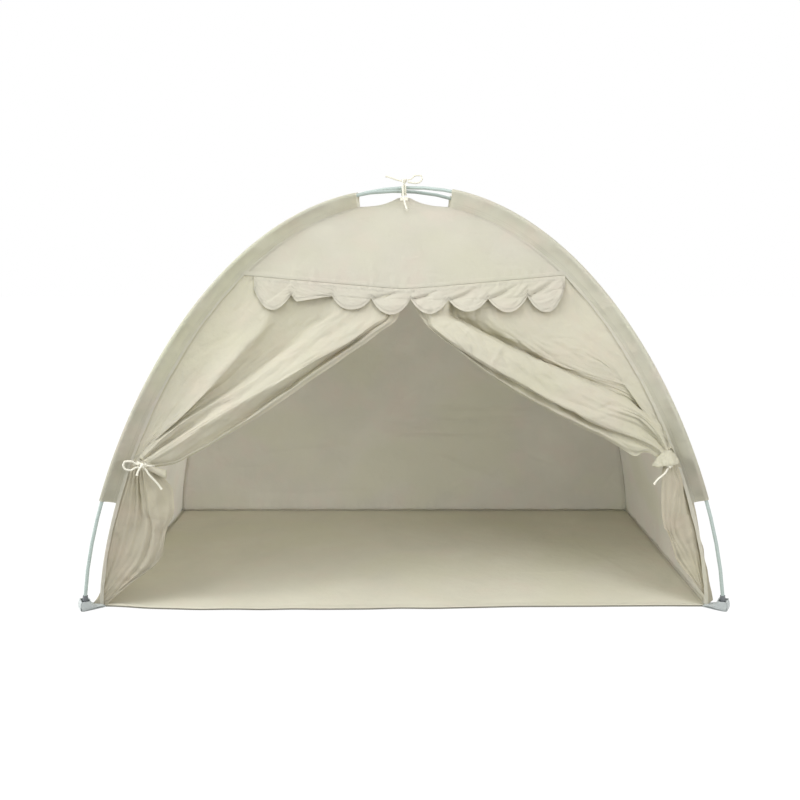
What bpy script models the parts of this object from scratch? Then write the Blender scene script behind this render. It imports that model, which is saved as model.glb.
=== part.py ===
"""A children's dome play tent, pitched, with its door curtains tied back.

Two jointed poles cross over the crown and carry a sewn cotton canopy on four
sleeves. Their ends stand in webbing pockets at the corners of the floor.
Lengths are in metres, +Z is up, the door faces -Y, and the origin is on the
ground in the middle of the floor.
"""

import math

import bmesh
import bpy
from mathutils import Matrix, Vector

# Canopy and floor
FLOOR_WIDTH = 1.500
FLOOR_DEPTH = 0.850
CANOPY_HEIGHT = 0.997
FOOT_ROUNDNESS = 2.13
CROWN_ROUNDNESS = 1.55
CLOTH = 0.0015
PIECE_GAP = 0.0003
FLOOR_HEM_WIDTH = 0.022
FLOOR_CLEARANCE = 0.0010
CROWN_HOLE_SHARE = 0.02
CANOPY_STEP = 0.088
NORMAL_STEPS = 2000

# Poles, each of five hollow sections joined by ferrules
SECTION_COUNT = 5
POLE_RADIUS = 0.0045
POLE_BORE_RADIUS = 0.0028
SHOCK_CORD_RADIUS = 0.0015
POLE_TO_SEAM = 0.036
FERRULE_LENGTH = 0.100
FERRULE_WALL = 0.0008
FERRULE_CLEARANCE = 0.00035
TIP_LENGTH = 0.034
TIP_WALL = 0.0014
TIP_END = 0.008
POLE_SIDES = 8
POLE_STEP = 0.066
CROSSING_CLEARANCE = 0.0006
SHOCK_CORD_SIDES = 6
POLE_SAMPLES = 240
SHOCK_CORD_END_GAP = 0.0010

# Sleeves on the ridge seams, with their feet at a share of the canopy's height
SLEEVE_FOOT_SHARE = 0.2588
SLEEVE_CROWN_REACH_SHARE = 0.165
SLEEVE_RADIUS = 0.0080
SLEEVE_STITCHING = 0.010
SLEEVE_HEEL_HALF = 0.0012
SLEEVE_ARC_POINTS = 7
SLEEVE_ARC_DEGREES = 100

# Corner pockets of folded webbing
POCKET_WIDTH = 0.032
POCKET_WALL = 0.0024
POCKET_HEIGHT = 0.027
POCKET_TAB_HEIGHT = 0.003
POCKET_CLEARANCE = 0.0012
POCKET_REACH_SHARES = (0, 0.35, 0.62, 0.86, 1)
POCKET_WIDTH_SHARES = (1, 1, 1, 0.86, 0.62)
POCKET_RISE_SHARES = (0, 0.10, 0.86, 1, 0.80)
POCKET_SHOULDER_HEIGHT_SHARE = 0.45
POCKET_TOP_WIDTH_SHARE = 0.55

# Door: the seam that carries the curtains and the scalloped valance
SEAM_HEIGHT_SHARE = 0.7954
VALANCE_WIDTH = 0.776
VALANCE_DEPTH = 0.078
VALANCE_NOTCH_DEPTH = 0.036
SCALLOP_COUNT = 8
SCALLOP_SHARES = (0.0, 0.08, 0.25, 0.5, 0.75, 0.92)
VALANCE_RIPPLE = 0.003
VALANCE_STAND_OFF = 0.014
HINGE_CLEARANCE = 0.0012

# Curtains, gathered at the ties
TIE_HEIGHT_SHARE = 0.3561
LEFT_TIE_INSET = 0.043
RIGHT_TIE_INSET = 0.032
BUNCH_HALF = 0.019
NECK_HALF = 0.005
CURTAIN_TOP_GAP = 0.0016
CURTAIN_EDGE_GAP = 0.004
CURTAIN_CENTRE_GAP = 0.003
CURTAIN_SAG = 0.054
SAG_PEAK_SHARE = 0.68
CURTAIN_PLEATS = 3
CURTAIN_FOLD = 0.012
BUNCH_FOLD = 0.008
CURTAIN_ROWS = 11
PLEAT_COLUMNS = 8
PLEAT_START_SHARE = 0.25
STRIP_SHARE = 0.10
STRIP_COLUMNS = 2
STRIP_ROWS = 6
STRIP_CLEARANCE = 0.004
STRIP_FOOT_WIDTH = 0.008
STRIP_FOOT_HEIGHT = 0.005

# Curtain tails, the free cloth under each tie
TAIL_HEAD_DROP = 0.009
TAIL_HEAD_WIDTH = 0.020
TAIL_TIP_HEIGHT_SHARE = 0.1856
TAIL_TIP_WIDTH = 0.085
TAIL_FOOT_WIDTH = 0.012
TAIL_FOOT_HEIGHT = 0.020
TAIL_FOLD = 0.007
TAIL_HALF_FOLDS = 3
TAIL_HEM_CURVE = 1.2
TAIL_AXIS_GAP = 0.003
TAIL_ROWS = 9
TAIL_COLUMNS = 9
TAIL_FOOT_INSET = 0.022

# Ties of soft cotton cord
CORD_RADIUS = 0.0025
CORD_STEP = 0.011
CORD_GAP = 0.0006
KNOT_HALF_WIDTH = 0.0085
KNOT_HALF_DEPTH = 0.0050
KNOT_HALF_HEIGHT = 0.0065
KNOT_SHARES = ((-1, 0.80), (-0.76, 1), (-0.2, 0.86), (0.2, 0.86), (0.76, 1), (1, 0.80))
KNOT_SIDES = 8
ROUTE_SAMPLES = 24
WRAP_POINTS = 12
WRAP_MOUTH_DEGREES = 34
CROWN_TAB_LENGTH = 0.044
CROWN_TAB_WIDTH = 0.026
CROWN_TAB_GAP = 0.0004
CROWN_WRAP_TURNS = 2
CROWN_WRAP_POINTS = 24
CROWN_WRAP_SQUARENESS = 4
CROWN_WRAP_SIDE_GAP = 0.0030
CROWN_WRAP_STEP = 0.006

# Cord routes, each point as its own place from the knot's middle: out, back and up
LEFT_LOOP_ROUTE = (
    (0.0100, 0.000, 0.0032), (0.016, -0.001, 0.005), (0.028, -0.004, 0.012), (0.040, -0.006, 0.012),
    (0.046, -0.006, 0.002), (0.041, -0.005, -0.008), (0.030, -0.005, -0.010), (0.018, -0.001, -0.005),
    (0.0100, 0.000, -0.0032),
)
LEFT_LONG_TAIL_ROUTE = (
    (-0.0080, 0.000, -0.0115), (-0.012, -0.001, -0.019), (-0.021, -0.002, -0.029),
    (-0.033, -0.003, -0.042), (-0.044, -0.003, -0.058),
)
LEFT_SHORT_TAIL_ROUTE = (
    (0.0035, -0.0085, -0.0025), (0.006, -0.0125, -0.006), (0.009, -0.0155, -0.012), (0.011, -0.0165, -0.019),
)
RIGHT_TAIL_ROUTE = (
    (-0.0060, 0.000, -0.0115), (-0.010, -0.001, -0.018), (-0.019, -0.002, -0.026), (-0.029, -0.002, -0.035),
    (-0.036, -0.002, -0.046),
)
CROWN_LOOP_ROUTE = (
    (0.0100, 0.000, 0.0032), (0.017, -0.001, 0.005), (0.033, -0.002, 0.015), (0.044, -0.002, 0.015),
    (0.049, -0.002, 0.006), (0.043, -0.002, -0.003), (0.031, -0.002, -0.006), (0.018, -0.001, -0.0042),
    (0.0100, 0.000, -0.0032),
)
CROWN_UP_TAIL_ROUTE = (
    (-0.0100, 0.000, 0.001), (-0.019, -0.001, 0.003), (-0.034, -0.003, 0.008), (-0.050, -0.003, 0.013),
)
CROWN_DOWN_TAIL_ROUTE = (
    (-0.003, -0.0068, -0.001), (-0.004, -0.014, -0.006), (-0.004, -0.021, -0.020), (-0.002, -0.029, -0.040),
    (0.001, -0.042, -0.055), (0.004, -0.070, -0.068), (0.008, -0.096, -0.081),
)

# Colours: red, green, blue, then roughness and metallic
COTTON = (0.72, 0.70, 0.60, 0.95, 0.0)
FLOOR_COTTON = (0.62, 0.60, 0.51, 0.95, 0.0)
VALANCE_COTTON = (0.76, 0.73, 0.64, 0.95, 0.0)
POLE_COATING = (0.55, 0.60, 0.57, 0.45, 0.0)
FERRULE_STEEL = (0.62, 0.63, 0.64, 0.30, 1.0)
TIP_PLASTIC = (0.20, 0.21, 0.22, 0.50, 0.0)
WEBBING = (0.78, 0.80, 0.80, 0.85, 0.0)
TIE_COTTON = (0.86, 0.84, 0.72, 0.90, 0.0)
ELASTIC = (0.85, 0.85, 0.83, 0.80, 0.0)

# Worked out from the sizes above
HALF_WIDTH = FLOOR_WIDTH / 2
HALF_DEPTH = FLOOR_DEPTH / 2
HALF_DIAGONAL = math.hypot(HALF_WIDTH, HALF_DEPTH)
SLEEVE_FOOT_HEIGHT = CANOPY_HEIGHT * SLEEVE_FOOT_SHARE
SEAM_HEIGHT = CANOPY_HEIGHT * SEAM_HEIGHT_SHARE
TIE_HEIGHT = CANOPY_HEIGHT * TIE_HEIGHT_SHARE
TAIL_TIP_HEIGHT = CANOPY_HEIGHT * TAIL_TIP_HEIGHT_SHARE
FERRULE_BORE = POLE_RADIUS + FERRULE_CLEARANCE
FERRULE_RADIUS = FERRULE_BORE + FERRULE_WALL
TIP_BORE = POLE_RADIUS + FERRULE_CLEARANCE
TIP_RADIUS = TIP_BORE + TIP_WALL
POLE_TOP = CANOPY_HEIGHT + POLE_TO_SEAM
CROSSING_LIFT = POLE_RADIUS + CROSSING_CLEARANCE / 2
CORNERS = {"front_left": (-1, -1), "front_right": (1, -1), "rear_left": (-1, 1), "rear_right": (1, 1)}


# Materials and meshes

def material(name, finish):
    """A Principled material with this colour, roughness and metallic value."""
    found = bpy.data.materials.get(name)
    if found:
        return found
    made = bpy.data.materials.new(name)
    made.use_nodes = True
    shader = made.node_tree.nodes["Principled BSDF"]
    shader.inputs["Base Color"].default_value = (*finish[:3], 1)
    shader.inputs["Roughness"].default_value = finish[3]
    shader.inputs["Metallic"].default_value = finish[4]
    return made


def place(name, data, look):
    """Links a new object that holds this mesh or curve."""
    obj = bpy.data.objects.new(name, data)
    bpy.context.scene.collection.objects.link(obj)
    data.materials.append(look)
    return obj


def mesh_object(name, bm, look, crease_degrees=40):
    """Turns a bmesh into a smooth-shaded object whose faces point out."""
    bmesh.ops.recalc_face_normals(bm, faces=bm.faces)
    mesh = bpy.data.meshes.new(name)
    bm.to_mesh(mesh)
    bm.free()
    mesh.shade_smooth()
    mesh.set_sharp_from_angle(angle=math.radians(crease_degrees))
    return place(name, mesh, look)


def add_rows(bm, rows):
    """Adds a grid of vertices, one list for each row of points."""
    return [[bm.verts.new(point) for point in row] for row in rows]


def add_quads(bm, rows):
    """Fills the grid between neighbouring rows."""
    for low, high in zip(rows, rows[1:]):
        for i in range(len(low) - 1):
            bm.faces.new((low[i], low[i + 1], high[i + 1], high[i]))


def shell(name, outer, inner, look):
    """A closed sheet between an outer and an inner grid of points of the same size."""
    bm = bmesh.new()
    front, back = add_rows(bm, outer), add_rows(bm, inner)
    add_quads(bm, front)
    add_quads(bm, back)
    for a, b in ((front[0], back[0]), (front[-1], back[-1])):
        add_quads(bm, [a, b])
    for end in (0, -1):
        add_quads(bm, [[row[end] for row in front], [row[end] for row in back]])
    return mesh_object(name, bm, look)


def cloth_sheet(name, grids, look):
    """A folded cloth of even thickness about one or more grids that share their common points."""
    bm = bmesh.new()
    for rows in grids:
        add_quads(bm, add_rows(bm, rows))
    bmesh.ops.remove_doubles(bm, verts=bm.verts, dist=PIECE_GAP)
    obj = mesh_object(name, bm, look)
    solidify = obj.modifiers.new("cloth", "SOLIDIFY")
    solidify.thickness = CLOTH
    solidify.offset = 0
    solidify.use_even_offset = True
    return obj


def ring_solid(name, rings, look, tube=False):
    """Joins rings of points in turn. A tube's last ring meets its first. Other shapes get two end caps."""
    bm = bmesh.new()
    loops = add_rows(bm, rings)
    pairs = list(zip(loops, loops[1:]))
    if tube:
        pairs.append((loops[-1], loops[0]))
    for a, b in pairs:
        for i in range(len(a)):
            j = (i + 1) % len(a)
            bm.faces.new((a[i], a[j], b[j], b[i]))
    if not tube:
        bm.faces.new(loops[0])
        bm.faces.new(loops[-1])
    return mesh_object(name, bm, look)


def smooth_route(points, step):
    """Points a step apart on a smooth curve through the given ones."""
    guide = [points[0] * 2 - points[1], *points, points[-1] * 2 - points[-2]]
    dense = []
    for a, b, c, d in zip(guide, guide[1:], guide[2:], guide[3:]):
        square, cube = a * 2 - b * 5 + c * 4 - d, b * 3 - a - c * 3 + d
        for k in range(ROUTE_SAMPLES):
            u = k / ROUTE_SAMPLES
            dense.append((b * 2 + (c - a) * u + square * u**2 + cube * u**3) / 2)
    dense.append(points[-1])
    lengths = [0.0]
    for a, b in zip(dense, dense[1:]):
        lengths.append(lengths[-1] + (b - a).length)
    count = max(3, round(lengths[-1] / step))
    picked, at = [], 0
    for k in range(count + 1):
        wanted = lengths[-1] * k / count
        while at < len(lengths) - 2 and lengths[at + 1] < wanted:
            at += 1
        share = (wanted - lengths[at]) / (lengths[at + 1] - lengths[at])
        picked.append(dense[at].lerp(dense[at + 1], share))
    return picked


def cord(name, points, radius, look, step=CORD_STEP):
    """A round cord along a smooth curve through these points."""
    curve = bpy.data.curves.new(name, "CURVE")
    curve.dimensions = "3D"
    curve.bevel_depth = radius
    curve.bevel_resolution = 2
    curve.use_fill_caps = True
    route = smooth_route(points, step)
    spline = curve.splines.new("POLY")
    spline.points.add(len(route) - 1)
    for slot, point in zip(spline.points, route):
        slot.co = (*point, 1)
    return place(name, curve, look)


# The arch that the ridge seams and the poles follow

def arch_shares(t):
    """Reach and rise of the ridge seam at angle t, as shares of the half floor and of the height."""
    return math.cos(t) ** (2 / FOOT_ROUNDNESS), math.sin(t) ** (2 / CROWN_ROUNDNESS)


def angle_at_height(height):
    return math.asin((height / CANOPY_HEIGHT) ** (CROWN_ROUNDNESS / 2))


def angle_at_reach(share):
    return math.acos(share ** (FOOT_ROUNDNESS / 2))


def ridge_at_height(height):
    """The ridge seam's reach share at this height."""
    return arch_shares(angle_at_height(height))[0]


def arch_spot(half_run, t):
    """A point of a wall's upright section, as its distance out and its height."""
    reach, rise = arch_shares(t)
    return Vector((half_run * reach, CANOPY_HEIGHT * rise))


def arch_levels(low, high):
    """Angles between two of the canopy's break lines, from 0 at the floor to 4 at the crown."""
    breaks = [
        0.0, angle_at_height(SLEEVE_FOOT_HEIGHT), angle_at_height(SEAM_HEIGHT),
        angle_at_reach(SLEEVE_CROWN_REACH_SHARE), angle_at_reach(CROWN_HOLE_SHARE),
    ]
    angles = [breaks[low]]
    for a, b in list(zip(breaks, breaks[1:]))[low:high]:
        run = arch_spot(HALF_DIAGONAL, b) - arch_spot(HALF_DIAGONAL, a)
        steps = math.ceil(run.length / CANOPY_STEP)
        angles += [a + (b - a) * k / steps for k in range(1, steps + 1)]
    return angles


def profile(half_run, t):
    """The point of a wall's upright section at angle t, with the outward normal there."""
    nudge = math.pi / NORMAL_STEPS
    low, high = max(t - nudge, 0), min(t + nudge, math.pi / 2)
    along = (arch_spot(half_run, high) - arch_spot(half_run, low)).normalized()
    return arch_spot(half_run, t), Vector((along.y, -along.x))


def pole_profile(t, lift):
    """The pole's centre in its upright diagonal plane. The crown of one pole is lifted over the other."""
    seam, normal = profile(HALF_DIAGONAL, t)
    centre = seam + normal * POLE_TO_SEAM
    return Vector((centre.x, centre.y * (1 + lift / POLE_TOP)))


def in_plane(corner, spot):
    """A place in the diagonal plane through this corner, in the tent's own axes."""
    sx, sy = corner
    out = Vector((sx * HALF_WIDTH, sy * HALF_DEPTH, 0)) / HALF_DIAGONAL
    return out * spot.x + Vector((0, 0, spot.y))


class Pole:
    """The centre line of one pole, from its front foot over the crown to its rear foot."""

    def __init__(self, front, lift):
        rear = (-front[0], -front[1])
        angles = [math.pi / 2 * k / POLE_SAMPLES for k in range(POLE_SAMPLES + 1)]
        half = [pole_profile(t, lift) for t in angles]
        self.front, self.rear, self.lift = front, rear, lift
        self.points = [in_plane(front, spot) for spot in half]
        self.points += [in_plane(rear, spot) for spot in reversed(half[:-1])]
        self.lengths = [0.0]
        for a, b in zip(self.points, self.points[1:]):
            self.lengths.append(self.lengths[-1] + (b - a).length)
        self.side = Vector((-front[1] * HALF_DEPTH, front[0] * HALF_WIDTH, 0)).normalized()
        self.total = self.lengths[-1]
        self.foot = self.length_at_height(POCKET_WALL + PIECE_GAP)
        self.first = self.foot + TIP_END + PIECE_GAP
        self.section = (self.total - self.first * 2) / SECTION_COUNT
        self.breaks = self.break_lengths()

    def break_lengths(self):
        """Where every piece on the pole is faceted, so that a tube's flats lie along those inside it."""
        ends = [self.first, self.foot + TIP_LENGTH]
        for k in range(1, SECTION_COUNT):
            joint = self.first + k * self.section
            ends += [joint - FERRULE_LENGTH / 2, joint, joint + FERRULE_LENGTH / 2]
        ends += [self.total - self.foot - TIP_LENGTH, self.total - self.first]
        lengths = [ends[0]]
        for a, b in zip(ends, ends[1:]):
            count = max(1, round((b - a) / POLE_STEP))
            lengths += [a + (b - a) * k / count for k in range(1, count + 1)]
        return lengths

    def length_at_height(self, height):
        """How far along the pole its centre first passes this height."""
        for i, point in enumerate(self.points):
            if point.z >= height:
                before = self.points[i - 1]
                share = (height - before.z) / (point.z - before.z)
                return self.lengths[i - 1] + share * (self.lengths[i] - self.lengths[i - 1])

    def station(self, length):
        """The centre at this length and the direction away from the canopy there."""
        i = 1
        while i < len(self.lengths) - 1 and self.lengths[i] < length:
            i += 1
        share = (length - self.lengths[i - 1]) / (self.lengths[i] - self.lengths[i - 1])
        centre = self.points[i - 1].lerp(self.points[i], share)
        low, high = max(i - 3, 0), min(i + 2, len(self.points) - 1)
        along = (self.points[high] - self.points[low]).normalized()
        return centre, along.cross(self.side).normalized()

    def ring(self, length, radius, sides=POLE_SIDES):
        centre, outward = self.station(length)
        turn = 2 * math.pi / sides
        return [
            centre + (outward * math.cos(k * turn) + self.side * math.sin(k * turn)) * radius
            for k in range(sides)
        ]

    def rings(self, start, end, radius, sides=POLE_SIDES):
        between = [length for length in self.breaks if start + PIECE_GAP < length < end - PIECE_GAP]
        return [self.ring(length, radius, sides) for length in (start, *between, end)]

    def tube(self, name, start, end, radius, bore, look):
        outer = self.rings(start, end, radius)
        inner = self.rings(start, end, bore)
        return ring_solid(name, outer + inner[::-1], look, tube=True)


def make_pole(label, front, lift):
    """Sections, ferrules, end tips and the elastic cord of one pole."""
    pole = Pole(front, lift)
    coating = material("pole_coating", POLE_COATING)
    steel = material("ferrule_steel", FERRULE_STEEL)
    for k in range(SECTION_COUNT):
        start = pole.first + k * pole.section + PIECE_GAP / 2
        end = start + pole.section - PIECE_GAP
        pole.tube(f"{label}_section_{k + 1}", start, end, POLE_RADIUS, POLE_BORE_RADIUS, coating)
    for k in range(1, SECTION_COUNT):
        joint = pole.first + k * pole.section
        start, end = joint - FERRULE_LENGTH / 2, joint + FERRULE_LENGTH / 2
        pole.tube(f"{label}_ferrule_{k}", start, end, FERRULE_RADIUS, FERRULE_BORE, steel)
    for name, end, inward in (("front", pole.foot, 1), ("rear", pole.total - pole.foot, -1)):
        outer = [pole.ring(end + inward * depth, TIP_RADIUS) for depth in (0, TIP_END, TIP_LENGTH)]
        inner = [pole.ring(end + inward * depth, TIP_BORE) for depth in (TIP_LENGTH, TIP_END)]
        ring_solid(f"{label}_{name}_tip", outer + inner, material("tip_plastic", TIP_PLASTIC))
    start, end = pole.first + SHOCK_CORD_END_GAP, pole.total - pole.first - SHOCK_CORD_END_GAP
    strand = pole.rings(start, end, SHOCK_CORD_RADIUS, SHOCK_CORD_SIDES)
    ring_solid(f"{label}_shock_cord", strand, material("elastic", ELASTIC))
    return pole


# Sleeves and corner pockets

def teardrop(radius, heel, heel_half):
    """A round front about the pole that tapers back to a narrow heel, as places out and across."""
    arc = math.radians(SLEEVE_ARC_DEGREES)
    angles = [arc * (2 * k / (SLEEVE_ARC_POINTS - 1) - 1) for k in range(SLEEVE_ARC_POINTS)]
    round_front = [(radius * math.cos(a), radius * math.sin(a)) for a in angles]
    return [(-heel, -heel_half), *round_front, (-heel, heel_half)]


def make_sleeve(name, corner, pole):
    """The flat sleeve that stands out from one ridge seam with the pole in its outer edge."""
    outer, inner = [], []
    for t in arch_levels(1, 3):
        centre = in_plane(corner, pole_profile(t, pole.lift))
        seam = in_plane(corner, profile(HALF_DIAGONAL, t)[0])
        outward = (centre - seam).normalized()
        heel = (centre - seam).length - 2 * PIECE_GAP
        for rings, shape in (
            (outer, teardrop(SLEEVE_RADIUS, heel, SLEEVE_HEEL_HALF)),
            (inner, teardrop(SLEEVE_RADIUS - CLOTH / 2, heel - SLEEVE_STITCHING, PIECE_GAP)),
        ):
            rings.append([centre + outward * u + pole.side * v for u, v in shape])
    ring_solid(name, outer + inner[::-1], material("cotton", COTTON), tube=True)


def pocket_ring(corner, side, reach, wide, rise):
    """One cross section of a pocket, from the canopy's corner outwards."""
    depth = POLE_TO_SEAM + TIP_RADIUS + POCKET_CLEARANCE + POCKET_WALL
    base = in_plane(corner, Vector((HALF_DIAGONAL + PIECE_GAP + reach * depth, 0)))
    half = POCKET_WIDTH / 2 * wide
    height = POCKET_TAB_HEIGHT + (POCKET_HEIGHT - POCKET_TAB_HEIGHT) * rise
    shoulder = height * POCKET_SHOULDER_HEIGHT_SHARE
    top = half * POCKET_TOP_WIDTH_SHARE
    section = ((-half, 0), (half, 0), (half, shoulder), (top, height), (-top, height), (-half, shoulder))
    return [base + side * across + Vector((0, 0, up)) for across, up in section]


def make_mouth_cutter(name, pole, front):
    """The shape that opens a pocket for the pole's tip."""
    end = pole.foot if front else pole.total - pole.foot
    step = POCKET_HEIGHT if front else -POCKET_HEIGHT
    foot, mouth = pole.station(end)[0], pole.station(end + step)[0]
    along = (mouth - foot).normalized()
    across = along.cross(pole.side).normalized()
    sides = 2 * POLE_SIDES
    turns = [2 * math.pi * k / sides for k in range(sides)]
    rings = []
    for length in (-PIECE_GAP * 2, POCKET_HEIGHT * 2):
        centre = foot + along * length
        rings.append([
            centre + (across * math.cos(a) + pole.side * math.sin(a)) * (TIP_RADIUS + POCKET_CLEARANCE)
            for a in turns
        ])
    cutter = ring_solid(name, rings, material("webbing", WEBBING))
    cutter.hide_render = True
    cutter.display_type = "WIRE"
    return cutter


def make_pocket(name, corner, pole):
    """A pocket of folded webbing sewn to a floor corner, with a mouth for the pole's tip."""
    shares = zip(POCKET_REACH_SHARES, POCKET_WIDTH_SHARES, POCKET_RISE_SHARES)
    rings = [pocket_ring(corner, pole.side, *share) for share in shares]
    body = ring_solid(name, rings, material("webbing", WEBBING))
    cut = body.modifiers.new("mouth", "BOOLEAN")
    cut.operation = "DIFFERENCE"
    cut.object = make_mouth_cutter(f"{name}_mouth_cutter", pole, corner == pole.front)


# Canopy walls and floor

def wall_rows(half_run, half_span, angles, turn):
    """Outer and inner rows of a wall that spans two ridge seams, mitred to its neighbours with a gap."""
    outer, inner = [], []
    for t in angles:
        spot, normal = profile(half_run, t)
        for rows, place_at in ((outer, spot), (inner, spot - normal * CLOTH)):
            half = place_at.x * half_span / half_run - PIECE_GAP
            rows.append([turn @ Vector((across, -place_at.x, place_at.y)) for across in (-half, half)])
    return outer, inner


def make_wall(name, facing_degrees, lowest_break=0):
    turn = Matrix.Rotation(math.radians(facing_degrees), 3, "Z")
    sideways = facing_degrees % 180 != 0
    run, span = (HALF_WIDTH, HALF_DEPTH) if sideways else (HALF_DEPTH, HALF_WIDTH)
    outer, inner = wall_rows(run, span, arch_levels(lowest_break, 4), turn)
    return shell(name, outer, inner, material("cotton", COTTON))


def make_floor():
    """The floor lies inside the walls and ends in a folded hem at the door."""
    half_x = HALF_WIDTH - CLOTH - FLOOR_CLEARANCE
    back = HALF_DEPTH - CLOTH - FLOOR_CLEARANCE
    hem = -HALF_DEPTH + FLOOR_HEM_WIDTH
    section = (
        (-HALF_DEPTH, 0), (-HALF_DEPTH, CLOTH * 2), (hem, CLOTH * 2), (hem, CLOTH), (back, CLOTH), (back, 0),
    )
    rings = [[Vector((x, y, z)) for y, z in section] for x in (-half_x, half_x)]
    return ring_solid("floor_panel", rings, material("floor_cotton", FLOOR_COTTON))


# Door: valance, curtains and their tails

def front_point(out, height, side, sunk=0.0):
    """A place on the sloping front of the canopy, sunk behind it along its normal."""
    spot, normal = profile(HALF_DEPTH, angle_at_height(height))
    spot = spot - normal * sunk
    return Vector((side * out, -spot.x, spot.y))


def make_valance():
    """A strip of eight scallops that hangs from the door seam in front of the curtains."""
    spot, normal = profile(HALF_DEPTH, angle_at_height(SEAM_HEIGHT))
    lower, lower_normal = profile(HALF_DEPTH, angle_at_height(SEAM_HEIGHT - VALANCE_DEPTH))
    hinge = spot + normal * (CLOTH / 2 + HINGE_CLEARANCE)
    hem = lower + lower_normal * VALANCE_STAND_OFF
    down = (hem - hinge).normalized()
    away = Vector((-down.y, down.x))
    pitch = VALANCE_WIDTH / SCALLOP_COUNT
    columns = [(k + share) for k in range(SCALLOP_COUNT) for share in SCALLOP_SHARES] + [SCALLOP_COUNT]
    rows = [[], [], []]
    for column in columns:
        x = -VALANCE_WIDTH / 2 + column * pitch
        lobe = 2 * (column % 1) - 1
        lobe_depth = (VALANCE_DEPTH - VALANCE_NOTCH_DEPTH) * math.sqrt(1 - lobe**2)
        ripple = VALANCE_RIPPLE * math.cos(2 * math.pi * column)
        for row, depth, wave in zip(
            rows, (0, VALANCE_NOTCH_DEPTH / 2, VALANCE_NOTCH_DEPTH + lobe_depth), (0, ripple / 2, ripple)
        ):
            place_at = hinge + down * depth + away * wave
            row.append(Vector((x, -place_at.x, place_at.y)))
    cloth_sheet("door_valance", [rows], material("valance_cotton", VALANCE_COTTON))


def tie_centre(side):
    """The middle of the gathered curtain inside its tie."""
    inset = LEFT_TIE_INSET if side < 0 else RIGHT_TIE_INSET
    return front_point(HALF_WIDTH * ridge_at_height(TIE_HEIGHT) - inset, TIE_HEIGHT, side)


def tail_axis(side):
    """The line that a curtain's tail turns about, from the foot by the corner to the tie."""
    foot = Vector((side * (HALF_WIDTH - TAIL_FOOT_INSET), -HALF_DEPTH + TAIL_FOOT_INSET / 2, 0))
    return foot, tie_centre(side)


def sag_shape(w):
    """How far the free edge sags on its way to the tie, up to 1 at its lowest."""
    peak = SAG_PEAK_SHARE
    power = peak / (1 - peak)
    return w**power * (1 - w) / (peak**power * (1 - peak))


def gathered_out(side, v):
    """How far out the cloth of column v passes the tie."""
    tie_out = abs(tie_centre(side).x)
    near, far = tie_out + BUNCH_HALF, tie_out - BUNCH_HALF
    if v < STRIP_SHARE:
        edge = HALF_WIDTH * ridge_at_height(TIE_HEIGHT) - CURTAIN_EDGE_GAP
        return edge + (near - edge) * v / STRIP_SHARE
    return near + (far - near) * (v - STRIP_SHARE) / (1 - STRIP_SHARE)


def curtain_point(side, v, w):
    """A point of the curtain, at share v from the ridge to its free edge and share w down to the tie."""
    tie = tie_centre(side)
    seam_top = SEAM_HEIGHT - CURTAIN_TOP_GAP
    height = seam_top + (TIE_HEIGHT + NECK_HALF - seam_top) * w
    ridge_at_seam = HALF_WIDTH * ridge_at_height(SEAM_HEIGHT)
    ridge_at_tie = HALF_WIDTH * ridge_at_height(TIE_HEIGHT)
    bulge = HALF_WIDTH * ridge_at_height(height) - ridge_at_seam - (ridge_at_tie - ridge_at_seam) * w
    head = ridge_at_seam - CURTAIN_EDGE_GAP
    head += (CURTAIN_CENTRE_GAP - head) * v
    out = head + (gathered_out(side, v) - head) * w + bulge * (1 - v) ** 2
    height -= CURTAIN_SAG * v**2 * sag_shape(w)
    on_front = front_point(out, height, side, CLOTH / 2).y
    chord = front_point(out, seam_top, side, CLOTH / 2).lerp(tie, w).y
    pleat = max(0, (v - STRIP_SHARE) / (1 - STRIP_SHARE))
    spread = math.sin(math.pi * w) * CURTAIN_FOLD + w**2 * BUNCH_FOLD
    spread *= math.sin(2 * math.pi * CURTAIN_PLEATS * pleat) * min(1, pleat / PLEAT_START_SHARE)
    return Vector((side * out, on_front + (chord - on_front) * v - spread, height))


def curtain_strip(side, neck):
    """Rows of the narrow strip that stays sewn to the ridge, from the neck in the tie to the floor."""
    foot, head = tail_axis(side)
    neck_low = TIE_HEIGHT - NECK_HALF
    rows = [neck]
    for j in range(1, STRIP_ROWS + 1):
        height = neck_low + (STRIP_FOOT_HEIGHT - neck_low) * j / STRIP_ROWS
        outer = HALF_WIDTH * ridge_at_height(height) - CURTAIN_EDGE_GAP
        axis_out = abs(foot.lerp(head, height / TIE_HEIGHT).x)
        inner = min(axis_out + STRIP_CLEARANCE, outer - STRIP_FOOT_WIDTH)
        outs = [outer + (inner - outer) * k / STRIP_COLUMNS for k in range(STRIP_COLUMNS + 1)]
        rows.append([front_point(out, height, side, CLOTH / 2) for out in outs])
    return rows


def make_curtain(name, side):
    """Half of the door, sewn along the seam and the ridge and gathered at its tie, with its strip below."""
    columns = CURTAIN_PLEATS * PLEAT_COLUMNS
    shares = [STRIP_SHARE * k / STRIP_COLUMNS for k in range(STRIP_COLUMNS)]
    shares += [STRIP_SHARE + (1 - STRIP_SHARE) * k / columns for k in range(columns + 1)]
    upper = [[curtain_point(side, v, j / CURTAIN_ROWS) for v in shares] for j in range(CURTAIN_ROWS + 1)]
    upper.append([point - Vector((0, 0, NECK_HALF * 2)) for point in upper[-1]])
    strip = curtain_strip(side, upper[-1][: STRIP_COLUMNS + 1])
    cloth_sheet(name, [upper, strip], material("cotton", COTTON))


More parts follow.
